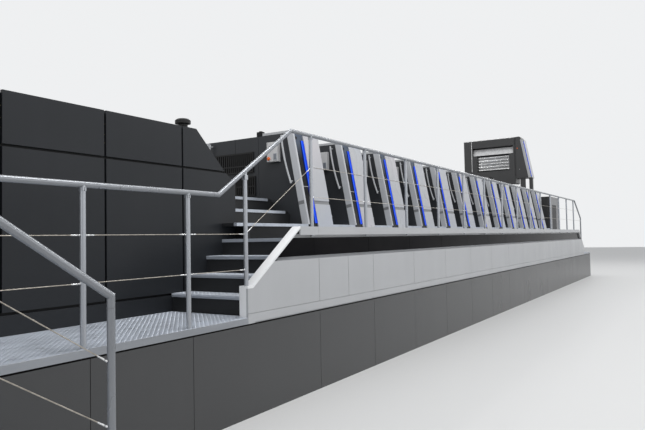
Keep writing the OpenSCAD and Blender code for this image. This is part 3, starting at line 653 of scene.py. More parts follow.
def tread_plate(shape, x0, x1, y0, y1, z, side=OPERATOR):
    """Covers a stretch of deck at a height with lozenges."""
    half, width, height = LOZENGE
    lean = math.sqrt(0.5)
    columns = int((x1 - x0 - 2*TREAD_MARGIN)/TREAD_PITCH) + 1
    rows = int((y1 - y0 - 2*TREAD_MARGIN)/TREAD_PITCH) + 1
    start_x = (x0 + x1 - (columns - 1)*TREAD_PITCH)/2
    start_y = (y0 + y1 - (rows - 1)*TREAD_PITCH)/2
    for i in range(columns):
        for j in range(rows):
            turn = lean if (i + j) % 2 else -lean
            x, y = start_x + i*TREAD_PITCH, start_y + j*TREAD_PITCH
            points = []
            for along, across, up in ((-half, 0, 0), (0, -width, 0), (half, 0, 0), (0, width, 0),
                                      (-half*LOZENGE_CREST, 0, height), (half*LOZENGE_CREST, 0, height)):
                points.append((x + along*lean - across*turn, y + along*turn + across*lean,
                               z - LOZENGE_SUNK + up))
            shape.add(points, [(0, 3, 2, 1), (0, 1, 5, 4), (1, 2, 5), (2, 3, 4, 5), (3, 0, 4)], side)


def make_tread_plates():
    """Lozenges on the walkways, the access stairs, the gallery stair and the feeder's deck."""
    feeder_x0 = CORNER_X + FASCIA_LEN - STAIR_IN
    post_in = EDGE_Y + 0.004
    for name, side in (("operator", OPERATOR), ("drive", DRIVE)):
        deck = Shape()
        tread_plate(deck, LOW[0], STAIR_X, post_in, DELIVERY_Y, DECK_Z, side)
        tread_plate(deck, feeder_x0, HIGH[0], post_in, BED_Y, DECK_Z, side)
        deck.piece("tread_plate_walkway_" + name, "deck_plain", "deck_plate")
        access = Shape()
        outer_y = EDGE_Y - ACCESS_W
        tread_plate(access, CORNER_X + LANDING_X, CORNER_X + ACCESS_X, outer_y, EDGE_Y, DECK_Z, side)
        for i in range(1, 5):
            x = CORNER_X + ACCESS_X + (i - 1)*ACCESS_GOING
            tread_plate(access, x + (TREAD_LAP if i > 1 else 0), x + ACCESS_GOING + TREAD_LAP,
                        outer_y + STRINGER_T, EDGE_Y - STRINGER_IN, DECK_Z - i*ACCESS_RISE, side)
        access.piece("tread_plate_access_" + name, "deck_plain", "deck_plate")
        stair = Shape()
        for i in range(3):
            x = STAIR_X + i*GOING
            z = DECK_Z + (i + 1)*RISER
            end_x, lip = x + GOING + 0.011, 0.015 if i < 2 else 0.006
            stair.block((x - 0.0032, EDGE_Y + PARAPET_W + 0.001, z - lip),
                        (end_x, DELIVERY_Y - 0.001, z + TREAD_SHEET), 0.0004, side)
            tread_plate(stair, x - 0.002, end_x, EDGE_Y + PARAPET_W, DELIVERY_Y, z + TREAD_SHEET, side)
        stair.piece("tread_plate_stair_" + name, "tread_metal", "nosing_metal")
    feeder = Shape()
    tread_plate(feeder, FEEDER_END, HIGH[0], BED_Y, -BED_Y, DECK_Z)
    feeder.piece("tread_plate_feeder", "deck_plain", "deck_plate")


RIB_STEP, FRONT_RIB_STEP = 0.013, 0.009
CROSS_GOING = 0.284
CROSS_FIRST = (0.911, 2.325)
CROSS_OTHERS = (1.148, 2.213)


def make_nosing_ribs():
    """Low ribs on the nosing bars: two on each front of the stair, and three on the tops left bare.

    The cross steps on the gallery have three on each top. The first of them is the longest.
    """
    ribs = Shape()
    for side in BOTH_SIDES:
        for i in range(4):
            x = STAIR_X + i*GOING
            z = DECK_Z + (i + 1)*RISER
            for k in range(3 if i == 3 else 0):
                ribs.block((x + 0.008 + k*RIB_STEP, EDGE_Y + PARAPET_W + 0.002, z - 0.0002),
                           (x + 0.012 + k*RIB_STEP, DELIVERY_Y - 0.002, z + 0.0014), 0.0006, side)
            for k in range(2):
                ribs.block((x - 0.0014, EDGE_Y + PARAPET_W + 0.002, z - 0.022 - k*FRONT_RIB_STEP),
                           (x + 0.0002, DELIVERY_Y - 0.002, z - 0.018 - k*FRONT_RIB_STEP), 0.0006, side)
        for i in range(3):
            y = BED_Y - 0.012 + i*CROSS_GOING
            z = GALLERY_Z + (i + 1)*RISER
            x0, x1 = [CORNER_X + x for x in (CROSS_OTHERS if i else CROSS_FIRST)]
            for k in range(3):
                ribs.block((x0, y + 0.008 + k*RIB_STEP, z - 0.0002),
                           (x1, y + 0.012 + k*RIB_STEP, z + 0.0014), 0.0006, side)
    ribs.piece("nosing_ribs", "nosing_metal", "nosing_metal")


# Railings: tubes and posts with their brackets and joints, cables with end fittings, and the access stairs.

def cap_z(x):
    """The parapet cap's height at a distance from the corner."""
    return CAP_FLAT + max(0.0, x - CAP_FLAT_X)*CAP_SLOPE


def cap_x(z):
    """Where the underside of the sloped cap reaches a height."""
    return CAP_FLAT_X + (z + CAP_T - CAP_FLAT)/CAP_SLOPE


def stair_rail_z(x):
    """The tube's height over the stair."""
    return DECK_Z + RAIL_H + (x - KINK_LOW)*(GALLERY_Z - DECK_Z)/(KINK_HIGH - KINK_LOW)


def make_handrails():
    """Tubes that follow the decks, the stair and the landings, and the posts that carry them."""
    rails, posts = Shape(), Shape()
    rail_z, top_z = DECK_Z + RAIL_H, GALLERY_Z + RAIL_H
    toe_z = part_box("toe_boards")[0][2] + 0.010
    far_foot = cap_z(FASCIA_LEN - FAR_POST - 2*TUBE_R)
    inner = [[(ACCESS_X, DECK_Z), (ACCESS_X, rail_z), (KINK_LOW, rail_z), (KINK_HIGH, top_z),
              (FAR_KINK, top_z), (FAR_POST, top_z - FAR_DROP), (FAR_POST, far_foot)],
             [(END_POST, DECK_Z), (END_POST, rail_z), (LANDING_X, rail_z), (LANDING_X, DECK_Z)]]
    outer = [[(LANDING_X, DECK_Z), (LANDING_X, rail_z), (ACCESS_X, rail_z), (ACCESS_POST, ACCESS_POST_Z),
              (ACCESS_POST, ACCESS_RISE)]]
    stands = [(x, RAIL_Y, DECK_Z, rail_z) for x in WALK_POSTS]
    stands.append((STAIR_POST, RAIL_Y, CAP_FLAT, stair_rail_z(STAIR_POST)))
    stands.append((OUTER_POST, OUTER_Y, DECK_Z, rail_z))
    stands += [(FIRST_POST + i*POST_STEP, RAIL_Y, toe_z, top_z) for i in range(POSTS)]
    for side in BOTH_SIDES:
        for y, paths in ((RAIL_Y, inner), (OUTER_Y, outer)):
            for path in paths:
                rails.tube([(CORNER_X + x, y, z) for x, z in path], TUBE_R, side, 24)
        for x, y, low, high in stands:
            posts.tube([(CORNER_X + x, y, low), (CORNER_X + x, y, high)], POST_R, side, 24)
    rails.piece("handrail_tubes", "rail_paint", "rail_paint", "handrails")
    posts.piece("handrail_posts", "rail_paint_lit_copy", "rail_paint", "rail_posts")


LEG_IN, LEG_W = 0.020, 0.060
STRINGER_IN, STRINGER_T = 0.030, 0.010
TREAD_LAP, TREAD_T = 0.020, 0.035


def make_access_stairs():
    """The access stairs at each side, with a slab, legs, stringers and treads."""
    stairs = Shape()
    outer_y = EDGE_Y - ACCESS_W
    foot_x = ACCESS_X + 5*ACCESS_GOING + 0.030
    for side in BOTH_SIDES:
        stairs.block((CORNER_X + LANDING_X, outer_y, PLINTH_TOP), (CORNER_X + ACCESS_X, EDGE_Y, DECK_Z),
                     0.003, side)
        for x in (CORNER_X + LANDING_X + LEG_IN, CORNER_X + ACCESS_X - LEG_IN - LEG_W):
            for y in (outer_y, EDGE_Y - LEG_W):
                stairs.block((x, y, 0), (x + LEG_W, y + LEG_W, PLINTH_TOP), 0.004, side)
        profile = [(ACCESS_X, DECK_Z), (ACCESS_X, DECK_Z - 0.260), (foot_x - 0.160, 0), (foot_x, 0),
                   (foot_x, ACCESS_RISE - 0.030), (ACCESS_X + ACCESS_GOING, DECK_Z - 0.030)]
        for y in (outer_y, EDGE_Y - STRINGER_IN):
            stairs.prism([(CORNER_X + x, z) for x, z in profile], y, y + STRINGER_T, side @ ACROSS)
        for i in range(1, 5):
            x = CORNER_X + ACCESS_X + (i - 1)*ACCESS_GOING
            z = DECK_Z - i*ACCESS_RISE
            stairs.block((x, outer_y + STRINGER_T, z - TREAD_T),
                         (x + ACCESS_GOING + TREAD_LAP, EDGE_Y - STRINGER_IN, z), 0.003, side)
    stairs.piece("access_stair_frames", "deck_plain", "deck_plate", "access_stairs")


def rail_places():
    """The posts under level tubes, each with the height of its tube, on the operator's side."""
    places = [(CORNER_X + x, RAIL_Y, DECK_Z + RAIL_H) for x in WALK_POSTS]
    places += [(CORNER_X + FIRST_POST + i*POST_STEP, RAIL_Y, GALLERY_Z + RAIL_H) for i in range(POSTS)]
    places.append((CORNER_X + OUTER_POST, OUTER_Y, DECK_Z + RAIL_H))
    return places


SCREW_HEAD = [(0.0046, 0), (0.0044, 0.0018), (0.0030, 0.0030), (0, 0.0030)]
BRACKET_W, BRACKET_D = 0.032, 0.0212


def make_rail_brackets():
    """A bracket under the tube on each post with two screws, and a longer one on the stair's post."""
    brackets = Shape()
    screws = Shape()
    for side in BOTH_SIDES:
        for x, y, z in rail_places():
            brackets.block((x - BRACKET_W/2, y - BRACKET_D, z - 0.046),
                           (x + BRACKET_W/2, y + BRACKET_D, z - 0.017), 0.003, side)
            for dz in (-0.024, -0.038):
                screws.lathe(SCREW_HEAD, side @ at(x, y - BRACKET_D, z + dz) @ FACING_OPERATOR, 10)
        x, z = CORNER_X + STAIR_POST, stair_rail_z(STAIR_POST)
        brackets.block((x - 0.022, RAIL_Y - 0.0215, z - 0.075), (x + 0.022, RAIL_Y + 0.0215, z - 0.032),
                       0.003, side)
    brackets.piece("rail_brackets", "rail_paint_lit_copy", "rail_paint")
    screws.piece("rail_screws", "screw_steel", "rail_paint")


JOINTS = (-0.330, -1.30, -2.25)


def make_tube_joints():
    """Thin dark rings where the lengths of tube are joined, near the mitred corners."""
    joints = Shape()
    ring = [(TUBE_R - 0.0010, -0.0015), (TUBE_R + 0.0004, -0.0012), (TUBE_R + 0.0004, 0.0012),
            (TUBE_R - 0.0010, 0.0015)]
    along = Matrix.Rotation(math.pi/2, 4, "Y")
    for side in BOTH_SIDES:
        for x in JOINTS:
            joints.lathe(ring, side @ at(CORNER_X + x, RAIL_Y, DECK_Z + RAIL_H) @ along, 24)
        for i in range(5):
            x = CORNER_X + FIRST_POST + (3*i + 0.5)*POST_STEP
            joints.lathe(ring, side @ at(x, RAIL_Y, GALLERY_Z + RAIL_H) @ along, 24)
        joints.lathe(ring, side @ at(CORNER_X + ACCESS_POST, OUTER_Y, ACCESS_POST_Z - 0.060), 24)
    joints.piece("tube_joints", "screw_steel", "rail_paint")


FITTING = [(0.0040, 0.0002), (0.0058, 0.0004), (0.0064, 0.0016), (0.0064, 0.0080), (0.0050, 0.0095),
           (0.0050, 0.0220), (0.0056, 0.0228), (0.0056, 0.0320), (0.0048, 0.0328), (0.0048, 0.0580),
           (0.0042, 0.0650), (0.0031, 0.0700)]
CABLE_R = 0.0030


def make_cables():
    """Thin taut cables, each with a turned fitting at both ends."""
    cables, fittings = Shape(), Shape()
    slope = (ACCESS_POST_Z - DECK_Z - RAIL_H)/(ACCESS_POST - ACCESS_X)
    walkway = [ACCESS_X, *WALK_POSTS, STAIR_POST]
    gallery = [FIRST_POST + i*POST_STEP for i in range(POSTS)]
    far_x = FAR_KINK + (RAIL_H - CABLES[1])*(FAR_POST - FAR_KINK)/FAR_DROP - 0.048
    runs = []
    for height, last_x in zip(CABLES, (FAR_POST - TUBE_R, far_x)):
        low, high = DECK_Z + height, GALLERY_Z + height
        for posts, z in ((walkway, low), (gallery, high)):
            runs += [(a + POST_R, z, b - POST_R, z, RAIL_Y) for a, b in zip(posts, posts[1:])]
        runs.append((gallery[-1] + POST_R, high, last_x, high, RAIL_Y))
        runs.append((END_POST + TUBE_R, low, LANDING_X - TUBE_R, low, RAIL_Y))
        runs.append((LANDING_X + TUBE_R, low, OUTER_POST - POST_R, low, OUTER_Y))
        runs.append((OUTER_POST + POST_R, low - slope*0.040, ACCESS_POST - TUBE_R,
                     low + slope*(ACCESS_POST - ACCESS_X - TUBE_R), OUTER_Y))
    runs.append((STAIR_POST + POST_R, DECK_Z + CABLES[1] + 0.018, FIRST_POST - POST_R,
                 GALLERY_Z + CABLES[1] - 0.018, RAIL_Y))
    for side in BOTH_SIDES:
        for x0, z0, x1, z1, y in runs:
            a, b = Vector((CORNER_X + x0, y, z0)), Vector((CORNER_X + x1, y, z1))
            lift = (b - a).normalized()*(0.004 if z0 != z1 else 0.0)
            a, b = a + lift, b - lift
            cables.tube([a, b], CABLE_R, side, 8)
            for start, end in ((a, b), (b, a)):
                turn = (end - start).to_track_quat("Z", "Y").to_matrix().to_4x4()
                fittings.lathe(FITTING, side @ Matrix.Translation(start) @ turn, 12)
    cables.piece("cables", "cable_steel", "cable_steel", "rail_cables")
    fittings.piece("cable_fittings", "bright_steel", "cable_steel")


# The glass strip and its ledge, the plates over the deck's edge, and the painted shade in the gaps between
# the panels.

def make_windows():
    """The ledge over the fascia and the glass panes above it, which end under the parapets' caps."""
    ledges, glass = Shape(), Shape()
    fascia_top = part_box("fascia_panels")[1][2]
    toe_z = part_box("toe_boards")[0][2]
    gap = 0.0025
    ledge = [(0, fascia_top), (GLASS_IN, LEDGE_TOP), (GLASS_IN + 0.010, LEDGE_TOP),
             (GLASS_IN + 0.010, fascia_top - 0.020), (0.022, fascia_top - 0.020), (0.022, fascia_top)]
    end = [(cap_x(LEDGE_TOP), LEDGE_TOP), (cap_x(toe_z), toe_z), (PITCH - gap, toe_z),
           (PITCH - gap, LEDGE_TOP)]
    far_end = [(FASCIA_LEN - x, z) for x, z in end]
    for side in BOTH_SIDES:
        ledges.prism([(EDGE_Y + y, z) for y, z in ledge], CORNER_X + cap_x(LEDGE_TOP),
                     CORNER_X + FASCIA_LEN - cap_x(LEDGE_TOP), side)
        for outline in (end, far_end):
            glass.prism([(CORNER_X + x, z) for x, z in outline], EDGE_Y + GLASS_IN,
                        EDGE_Y + GLASS_IN + GLASS_T, side @ ACROSS)
        for i in range(1, BAYS - 1):
            glass.block((CORNER_X + i*PITCH + gap, EDGE_Y + GLASS_IN, LEDGE_TOP),
                        (CORNER_X + (i + 1)*PITCH - gap, EDGE_Y + GLASS_IN + GLASS_T, toe_z), 0.001, side)
    ledges.piece("window_ledges", "ledge_grey", "light_panel", "fascia_ledges")
    glass.piece("window_glass", "black_glass", "black_glass", "window_strips")


EDGE_OUT, EDGE_IN = 0.0015, 0.004
EDGE_DEPTH, EDGE_UP = 0.0535, 0.0005
EDGE_END = 0.0616
END_PLATE_L = 0.098


def deck_edge(shape, x0, x1, side):
    """A plate over the deck's edge, a little proud of its front and its top."""
    shape.block((x0, EDGE_Y - EDGE_OUT, DECK_Z - EDGE_DEPTH), (x1, EDGE_Y + EDGE_IN, DECK_Z + EDGE_UP),
                0.0006, side)


def make_deck_edges():
    """Plates over the decks' edges, short ones at the fascia's ends, and a black strip below them as a
    painted shadow line.
    """
    plates, edges, shades = (Shape() for _ in range(3))
    first_x, last_x = LOW[0] + 0.0005, HIGH[0] - 0.0005
    for side in BOTH_SIDES:
        deck_edge(edges, first_x, CORNER_X + EDGE_END, side)
        deck_edge(edges, CORNER_X + FASCIA_LEN - EDGE_END, last_x, side)
        shades.block((first_x, EDGE_Y - 0.0006, PLINTH_TOP - 0.013),
                     (last_x, EDGE_Y + EDGE_IN, DECK_Z - 0.0530), 0.0002, side)
        for x in (CORNER_X + 0.0618, CORNER_X + FASCIA_LEN - 0.160):
            deck_edge(plates, x, x + END_PLATE_L, side)
    plates.piece("deck_end_plates", "light_panel", "deck_plate")
    edges.piece("deck_edge_plates", "edge_grey", "deck_plate")
    shades.piece("plinth_shadow_line", "shadow_black", "black_frame")


GAP_SHADE_W = 0.0048


def make_panel_gap_shade():
    """Black strips set back in the gaps between the plinth's panels and between the fascia's, as painted
    shade in the gaps.
    """
    gap_shade = Shape()
    base_z, fascia_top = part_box("fascia_panels")[0][2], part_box("fascia_panels")[1][2]
    plinth = [CORNER_X + i*PITCH for i in range(1, BAYS + 1)] + DELIVERY_SEAMS
    fascia = [CORNER_X + i*PITCH for i in range(1, BAYS)] + [CORNER_X + 1.5*PITCH]
    for side in BOTH_SIDES:
        for places, low, high in ((plinth, 0.004, PLINTH_TOP), (fascia, base_z, fascia_top - 0.002)):
            for x in places:
                gap_shade.block((x - GAP_SHADE_W/2, EDGE_Y + 0.0008, low), (x + GAP_SHADE_W/2, EDGE_Y + 0.012, high),
                            0.0004, side)
    gap_shade.piece("panel_gap_shade", "shadow_black", "black_frame")


# Printing units: control boxes, covers, slots, light strips, painted shade in the grip grooves, catches and
# the parts on the roof.

ROOF_Y = cover_y(UNIT_TOP)
BOX_Y = ROOF_Y + 0.220
BOX_W, BOX_HEAD, BOX_STEP, BOX_H = 0.180, 0.146, 0.070, 0.264
BOX_TOP = UNIT_TOP - 0.109
BOX_OUT = 0.060
DIAL = [(0.026, 0), (0.026, 0.005), (0.023, 0.008), (0.018, 0.008), (0.016, 0.004), (0, 0.004)]
DISPLAY_FRAME = (0.008, -0.250, 0.074, -0.152)
DISPLAY = (0.017, -0.240, 0.064, -0.162)
FACE_T, FACE_RIM = 0.003, 0.006
FACE_SCREW = [(0.0040, 0), (0.0038, 0.0016), (0.0026, 0.0024), (0, 0.0024)]
SCREW_IN = 0.016
BUTTON = [(0.018, 0), (0.018, 0.006), (0.024, 0.008), (0.024, 0.014), (0.016, 0.018), (0, 0.0185)]


def make_control_faces():
    """The control boxes and their face plates, dials, displays and screws; the first has a button."""
    boxes, faces, dials, displays, frames, buttons, screws = (Shape() for _ in range(7))
    rim = FACE_RIM
    for n, unit_x in enumerate(UNIT_X):
        step = BOX_STEP if n else 0.0
        place = facing_delivery(unit_x - BOX_OUT, BOX_Y, BOX_TOP)
        side_y = BOX_Y + BOX_W
        boxes.prism([(BOX_Y, BOX_TOP - BOX_H), (BOX_Y, BOX_TOP), (side_y, BOX_TOP),
                     (side_y, BOX_TOP - BOX_HEAD), (side_y - step, BOX_TOP - BOX_HEAD - 0.001),
                     (side_y - step, BOX_TOP - BOX_H)], unit_x - BOX_OUT, unit_x - SKIN)
        outline = [(rim, -BOX_H + rim), (BOX_W - step - rim, -BOX_H + rim),
                   (BOX_W - step - rim, -BOX_HEAD + rim), (BOX_W - rim, -BOX_HEAD + rim),
                   (BOX_W - rim, -rim), (rim, -rim)]
        if not n:
            outline = rectangle(rim, -BOX_H + rim, BOX_W - rim, -rim)
        faces.plate(outline, FACE_T, FACE_T/2, place)
        dials.lathe(DIAL, place @ at(BOX_W - 0.060, -0.074, FACE_T), 28)
        dials.block((BOX_W - 0.063, -0.092, 0.006), (BOX_W - 0.057, -0.056, 0.012), 0.001, place)
        frames.plate(rectangle(*DISPLAY_FRAME), 0.006, 0.002, place @ at(0, 0, 0.001))
        displays.plate(rectangle(*DISPLAY), 0.002, 0.0008, place @ at(0, 0, 0.0062))
        for u, v in ((SCREW_IN, -SCREW_IN), (BOX_W - SCREW_IN, -SCREW_IN), (SCREW_IN, -BOX_H + SCREW_IN)):
            screws.lathe(FACE_SCREW, place @ at(u, v, FACE_T), 10)
        if not n:
            buttons.lathe(BUTTON, place @ at(BOX_W - 0.036, -0.222, FACE_T), 24)
    boxes.piece("control_housings", "box_white", "box_white", "control_boxes")
    faces.piece("control_faces", "box_white", "box_white")
    dials.piece("control_dials", "dial_grey", "box_white")
    frames.piece("display_frames", "grab_grey", "box_white")
    displays.piece("control_displays", "display_grey", "black_glass")
    buttons.piece("control_button", "signal_orange", "box_white")
    screws.piece("control_screws", "screw_steel", "box_white")


GRIP_Z, GRIP_H, GRIP_D = 2.035, 0.046, 0.010
SEAM_Z, SEAM_H, SEAM_D = 2.530, 0.005, 0.008
COVER_T = 0.0257
TOWER_Z, TOWER_SLOT_TOP = 3.443, 4.729
TOWER_SLOT_W, TOWER_WIDE_X = 0.095, 0.170


def slot_and_strip(slots, strips, place, slot_w, wide_x, foot, top, strip_foot, strip_top):
    """The glossy floor of a slot, and the light strip that slants out of it with a rounded edge."""
    slope = 1/math.cos(COVER_SLOPE)
    slots.block((0.0143, SLOT_D, foot*slope), (wide_x - SKIN, 0.0253, top*slope), 0.0005, place)
    profile = [(slot_w, SLOT_D - SKIN), (slot_w, 0.010), (slot_w + 0.008, 0.0070), (slot_w + 0.016, 0.0058),
               (wide_x - 0.012, 0.0036), (wide_x - 0.004, 0.0040), (wide_x - SKIN, 0.0056),
               (wide_x - SKIN, SLOT_D - SKIN)]
    strips.prism(profile, strip_foot*slope, strip_top*slope, place @ UPWARD)


def make_covers():
    """The wide covers with their grips and seams, and the slots and light strips beside them."""
    covers, slots, strips, tower_strip = (Shape() for _ in range(4))
    front = [(COVER_FOOT, 0)]
    for low, high, depth in ((GRIP_Z, GRIP_Z + GRIP_H, GRIP_D), (SEAM_Z, SEAM_Z + SEAM_H, SEAM_D)):
        front += [(low, 0), (low, depth), (high, depth), (high, 0)]
    front += [(COVER_TOP, 0), (COVER_TOP, COVER_T), (COVER_FOOT, COVER_T)]
    for side in BOTH_SIDES:
        for unit_x in UNIT_X:
            covers.prism([(cover_y(z) + depth, z) for z, depth in front], unit_x + WIDE_X,
                         unit_x + UNIT_LEN, side)
            slot_and_strip(slots, strips, side @ on_slope(unit_x, GALLERY_Z), SLOT_W, WIDE_X, 0.041,
                           COVER_TOP - GALLERY_Z, RISER + 0.018, COVER_TOP - GALLERY_Z - 0.090)
    slot_and_strip(slots, tower_strip, on_slope(UNIT_X[-1], TOWER_Z), TOWER_SLOT_W, TOWER_WIDE_X, 0.026,
                   TOWER_SLOT_TOP - TOWER_Z, 0.052, TOWER_SLOT_TOP - TOWER_Z - 0.060)
    covers.piece("cover_panels", "cover_paint_and_painted_reflections", "light_panel", "wide_covers")
    slots.piece("slot_floors", "slot_gloss_and_painted_reflection", "black_glass", "slot_panels")
    strips.piece("unit_light_strips", "light_strip", "light_strip", "light_strips")
    tower_strip.piece("tower_light_strip", "tower_strip", "light_strip")


BAR_Z, LOCK_Z, CATCH_Z = 2.262, 2.915, 1.875
LOCK = [(0.020, -0.013), (0.020, -0.006), (0.017, -0.003), (0.012, -0.003), (0.010, -0.006), (0, -0.006)]
CATCH_KNOB = [(0.006, 0.016), (0.006, 0.022), (0.009, 0.024), (0.009, 0.030), (0.006, 0.033), (0, 0.033)]


def make_unit_details():
    """Grey bands in the grip grooves as painted shade in the recesses, a bar and a lock in each slot, and a
    catch on each cover's far edge.
    """
    groove_shade, bars, locks, catches = (Shape() for _ in range(4))
    slope_h = GRIP_H/math.cos(COVER_SLOPE)
    for side in BOTH_SIDES:
        for unit_x in UNIT_X:
            grip = side @ on_slope(unit_x, GRIP_Z)
            # Painted shade: grey bands in the groove, and at the same height on the narrow strip.
            groove_shade.block((WIDE_X + 0.002, GRIP_D - 0.003, 0.002),
                        (UNIT_LEN - 0.002, GRIP_D - 0.001, slope_h - 0.002), 0.0005, grip)
            groove_shade.block((-STRIP_OUT - 0.0006, 0.013, 0.0), (-STRIP_OUT + 0.001, STRIP_W - 0.004, slope_h),
                        0.0003, grip)
            bar = side @ on_slope(unit_x, BAR_Z)
            bars.block((0.015, 0.004, -0.003), (SLOT_W, 0.013, 0.003), 0.001, bar)
            lock = side @ on_slope(unit_x, LOCK_Z) @ FACING_OPERATOR
            locks.lathe(LOCK, lock @ at(0.048, 0, 0), 20)
            catch = side @ on_slope(unit_x + UNIT_LEN, CATCH_Z)
            catches.block((-0.002, 0.004, -0.016), (0.016, 0.024, 0.016), 0.003, catch)
            catches.lathe(CATCH_KNOB, catch @ at(0.007, 0.014, 0), 14)
    groove_shade.piece("grip_groove_shade", "grip_grey", "light_panel")
    bars.piece("slot_bars", "bright_steel", "light_panel")
    locks.piece("slot_locks", "black_frame", "black_frame")
    catches.piece("cover_catches", "grab_grey", "grab_grey")


ROOF_BAR_IN, ROOF_BAR_L, ROOF_BAR_W, ROOF_BAR_H = 0.035, 0.482, 0.030, 0.035
ROOF_BOX_L, ROOF_BOX_W, ROOF_BOX_H = 0.070, 0.095, 0.066
ROOF_CATCH_IN, ROOF_CATCH_W = 0.026, 0.026
ROOF_KNOB = [(0.017, 0), (0.017, 0.012), (0.021, 0.016), (0.021, 0.026), (0.016, 0.032), (0, 0.033)]


def make_roof_parts():
    """On each roof's operator side: a light bar with rounded edges, a knob, a low box and a catch."""
    bars, fittings = Shape(), Shape()
    bar_y = ROOF_Y + ROOF_BAR_IN
    box_y = bar_y + ROOF_BAR_L + 0.008
    catch_y = ROOF_Y + ROOF_CATCH_IN
    foot = UNIT_TOP - 0.001
    lid_foot, lid_top = UNIT_TOP + ROOF_BOX_H - 0.002, UNIT_TOP + ROOF_BOX_H + 0.010
    bar_top = UNIT_TOP + ROOF_BAR_H
    for x in UNIT_X:
        bars.block((x, bar_y, foot), (x + ROOF_BAR_W, bar_y + ROOF_BAR_L, bar_top), 0.003)
        fittings.lathe(ROOF_KNOB, at(x + 0.022, bar_y - 0.024, UNIT_TOP), 20)
        fittings.block((x, box_y, foot), (x + ROOF_BOX_L, box_y + ROOF_BOX_W, UNIT_TOP + ROOF_BOX_H), 0.006)
        fittings.block((x + 0.010, box_y + 0.020, lid_foot), (x + 0.055, box_y + 0.060, lid_top), 0.004)
        far_x = x + UNIT_LEN
        fittings.block((far_x - ROOF_BOX_L, catch_y, foot), (far_x, catch_y + ROOF_CATCH_W, bar_top), 0.003)
    bars.piece("roof_rails", "light_panel", "light_panel", "roof_bars")
    fittings.piece("roof_parts", "black_frame", "black_frame", "roof_fittings")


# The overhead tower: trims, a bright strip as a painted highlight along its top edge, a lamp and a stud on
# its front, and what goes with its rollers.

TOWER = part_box("tower_body")
TOWER_Y = EDGE_Y + 1.600
TOWER_W = 1.770
FRAME_Y = TOWER_Y + 1.494
HINGES = (3.80, 4.20, 4.56)
LAMP = [(0.020, 0), (0.020, 0.010), (0.016, 0.022), (0.008, 0.028), (0, 0.029)]
STUD = [(0.013, 0), (0.012, 0.004), (0.008, 0.006), (0, 0.006)]
COLLAR = [(0.020, 0), (0.0435, 0.0005), (0.0440, 0.004), (0.0440, 0.018), (0.0424, 0.022)]
ROLLERS, ROLLER_R, ROLLER_STEP = 5, 0.042, 0.105


def make_tower_front():
    """A bright strip under the top edge as a painted highlight, an upright trim with three hinges, a lamp
    and a stud.
    """
    x, top = TOWER[0][0], TOWER[1][2]
    back_y = TOWER_Y + TOWER_W
    trims = Shape()
    # Painted highlight: a bright steel strip along the top edge.
    trims.block((x - 0.006, TOWER_Y + 0.060, top - 0.016), (x + 0.004, back_y - 0.004, top - 0.001), 0.002)
    trims.block((x - 0.010, FRAME_Y, 3.76), (x + 0.002, FRAME_Y + 0.014, top - 0.020), 0.002)
    for z in HINGES:
        trims.block((x - 0.014, FRAME_Y - 0.006, z), (x + 0.002, FRAME_Y + 0.020, z + 0.030), 0.003)
    trims.piece("tower_trims_and_highlight_strip", "bright_steel", "roller_steel")
    lamp = Shape()
    lamp.lathe(LAMP, facing_delivery(x, TOWER_Y - 0.043, 4.44), 20)
    lamp.piece("tower_lamp", "signal_orange", "dark_panel")
    studs = Shape()
    studs.lathe(STUD, facing_delivery(x, TOWER_Y - 0.100, 3.74), 16)
    studs.piece("tower_studs", "box_white", "box_white")


def make_roller_parts():
    """Collars at the rollers' ends, a backing plate behind them, and two thin rods between each pair."""
    collars, backing, rods = (Shape() for _ in range(3))
    low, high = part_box("tower_rollers")
    middle_x = (low[0] + high[0])/2
    first_z = low[2] + ROLLER_R
    along = Matrix.Rotation(-math.pi/2, 4, "X")
    back = Matrix.Rotation(math.pi/2, 4, "X")
    for i in range(ROLLERS):
        z = first_z + i*ROLLER_STEP
        for y, turn in ((low[1] + 0.0005, along), (high[1] - 0.0005, back)):
            collars.lathe(COLLAR, at(middle_x, y, z) @ turn, 24)
    collars.piece("roller_collars", "screw_steel", "roller_steel")
    backing.block((high[0] + 0.004, low[1] + 0.002, low[2]), (high[0] + 0.010, high[1] - 0.002, high[2]),
                  0.002)
    backing.piece("roller_backing", "grip_grey", "dark_panel")
    rod = [(0.006, 0), (0.006, high[1] - low[1] - 0.008)]
    for i in range(ROLLERS - 1):
        z = first_z + (i + 0.5)*ROLLER_STEP
        for dx, dz in ((-0.030, 0.010), (-0.016, -0.012)):
            rods.lathe(rod, at(middle_x + dx, low[1] + 0.004, z + dz) @ along, 12)
    rods.piece("guide_rods", "bright_steel", "roller_steel")


# The delivery: pads in the gap between the upper panels.

PAD_HEIGHTS = (2.470, 2.545, 2.640)


def make_gap_pads():
    """Three small pads in each gap."""
    pads = Shape()
    for side in BOTH_SIDES:
        for x in DELIVERY_SEAMS:
            for z in PAD_HEIGHTS:
                pads.lathe([(0.007, 0), (0.007, 0.010), (0.005, 0.013), (0, 0.0135)],
                           side @ at(x, DELIVERY_Y + 0.029, z) @ FACING_OPERATOR, 12)
    pads.piece("gap_pads", "brass", "dark_panel")


# Stage and light.

STAGE_SIZE = 120.0
FLOOR_COLOR = (0.63, 0.63, 0.625, 1.0)
SKY_COLOR = (0.86, 0.87, 0.88, 1.0)


def make_floor():
    mesh = bpy.data.meshes.new("floor")
    half = STAGE_SIZE/2
    corners = [(-half, -half, 0), (half, -half, 0), (half, half, 0), (-half, half, 0)]
    mesh.from_pydata(corners, [], [(0, 1, 2, 3)])
    floor = bpy.data.objects.new("floor", mesh)
    bpy.context.scene.collection.objects.link(floor)
    look = Look("floor", roughness=0.55)
    look.shader.inputs["Base Color"].default_value = FLOOR_COLOR
    mesh.materials.append(look.material)


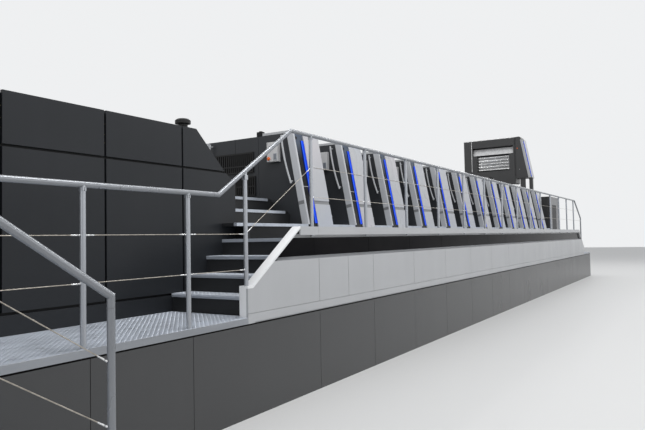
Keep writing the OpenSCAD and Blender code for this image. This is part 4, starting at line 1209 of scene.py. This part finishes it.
def make_world():
    """Pale for the camera and in reflections, plain soft light for the rest."""
    world = bpy.data.worlds.new("world")
    world.use_nodes = True
    bpy.context.scene.world = world
    tree = world.node_tree
    tree.nodes.clear()
    out = tree.nodes.new("ShaderNodeOutputWorld")
    mix = tree.nodes.new("ShaderNodeMixShader")
    light = tree.nodes.new("ShaderNodeBackground")
    light.inputs["Color"].default_value = (0.95, 0.97, 1.0, 1.0)
    light.inputs["Strength"].default_value = 0.58
    pale = tree.nodes.new("ShaderNodeBackground")
    pale.inputs["Color"].default_value = SKY_COLOR
    path = tree.nodes.new("ShaderNodeLightPath")
    seen = path.outputs["Is Camera Ray"]
    for ray in ("Is Glossy Ray", "Is Transmission Ray"):
        either = tree.nodes.new("ShaderNodeMath")
        either.operation = "MAXIMUM"
        tree.links.new(seen, either.inputs[0])
        tree.links.new(path.outputs[ray], either.inputs[1])
        seen = either.outputs["Value"]
    tree.links.new(seen, mix.inputs["Fac"])
    tree.links.new(light.outputs["Background"], mix.inputs[1])
    tree.links.new(pale.outputs["Background"], mix.inputs[2])
    tree.links.new(mix.outputs["Shader"], out.inputs["Surface"])


def area_light(name, place, to, size, size_y, power):
    data = bpy.data.lights.new(name, "AREA")
    data.shape = "RECTANGLE"
    data.size = size
    data.size_y = size_y
    data.energy = power
    light = bpy.data.objects.new(name, data)
    light.location = place
    light.rotation_euler = (Vector(to) - Vector(place)).to_track_quat("-Z", "Y").to_euler()
    bpy.context.scene.collection.objects.link(light)


def make_lights():
    """Lines of hall lamps over both sides, and soft light from the hall at the operator's side."""
    rows = (("lamps_near", -4.6, 680.0), ("lamps_mid", -2.2, 320.0), ("lamps_far", 5.0, 420.0))
    for name, y, power in rows:
        area_light(name, (0.0, y, 8.5), (0.0, y, 0.0), 44.0, 0.3, power)
    area_light("hall_side", (5.0, -13.0, 4.5), (5.0, 0.0, 1.4), 36.0, 6.0, 430.0)
    area_light("lamp_stair", (-7.2, -2.6, 6.5), (-8.0, -1.6, 0.9), 3.0, 0.4, 70.0)
    area_light("hall_end", (-22.0, -2.0, 4.0), (0.0, 0.0, 1.6), 10.0, 5.0, 110.0)


bpy.context.scene.view_settings.view_transform = "Standard"
make_camera()
make_world()
make_floor()
make_lights()
make_looks()
dress_nodes()
make_tread_plates()
make_nosing_ribs()
make_handrails()
make_access_stairs()
make_rail_brackets()
make_tube_joints()
make_cables()
make_windows()
make_deck_edges()
make_panel_gap_shade()
make_covers()
make_control_faces()
make_unit_details()
make_roof_parts()
make_tower_front()
make_roller_parts()
make_gap_pads()
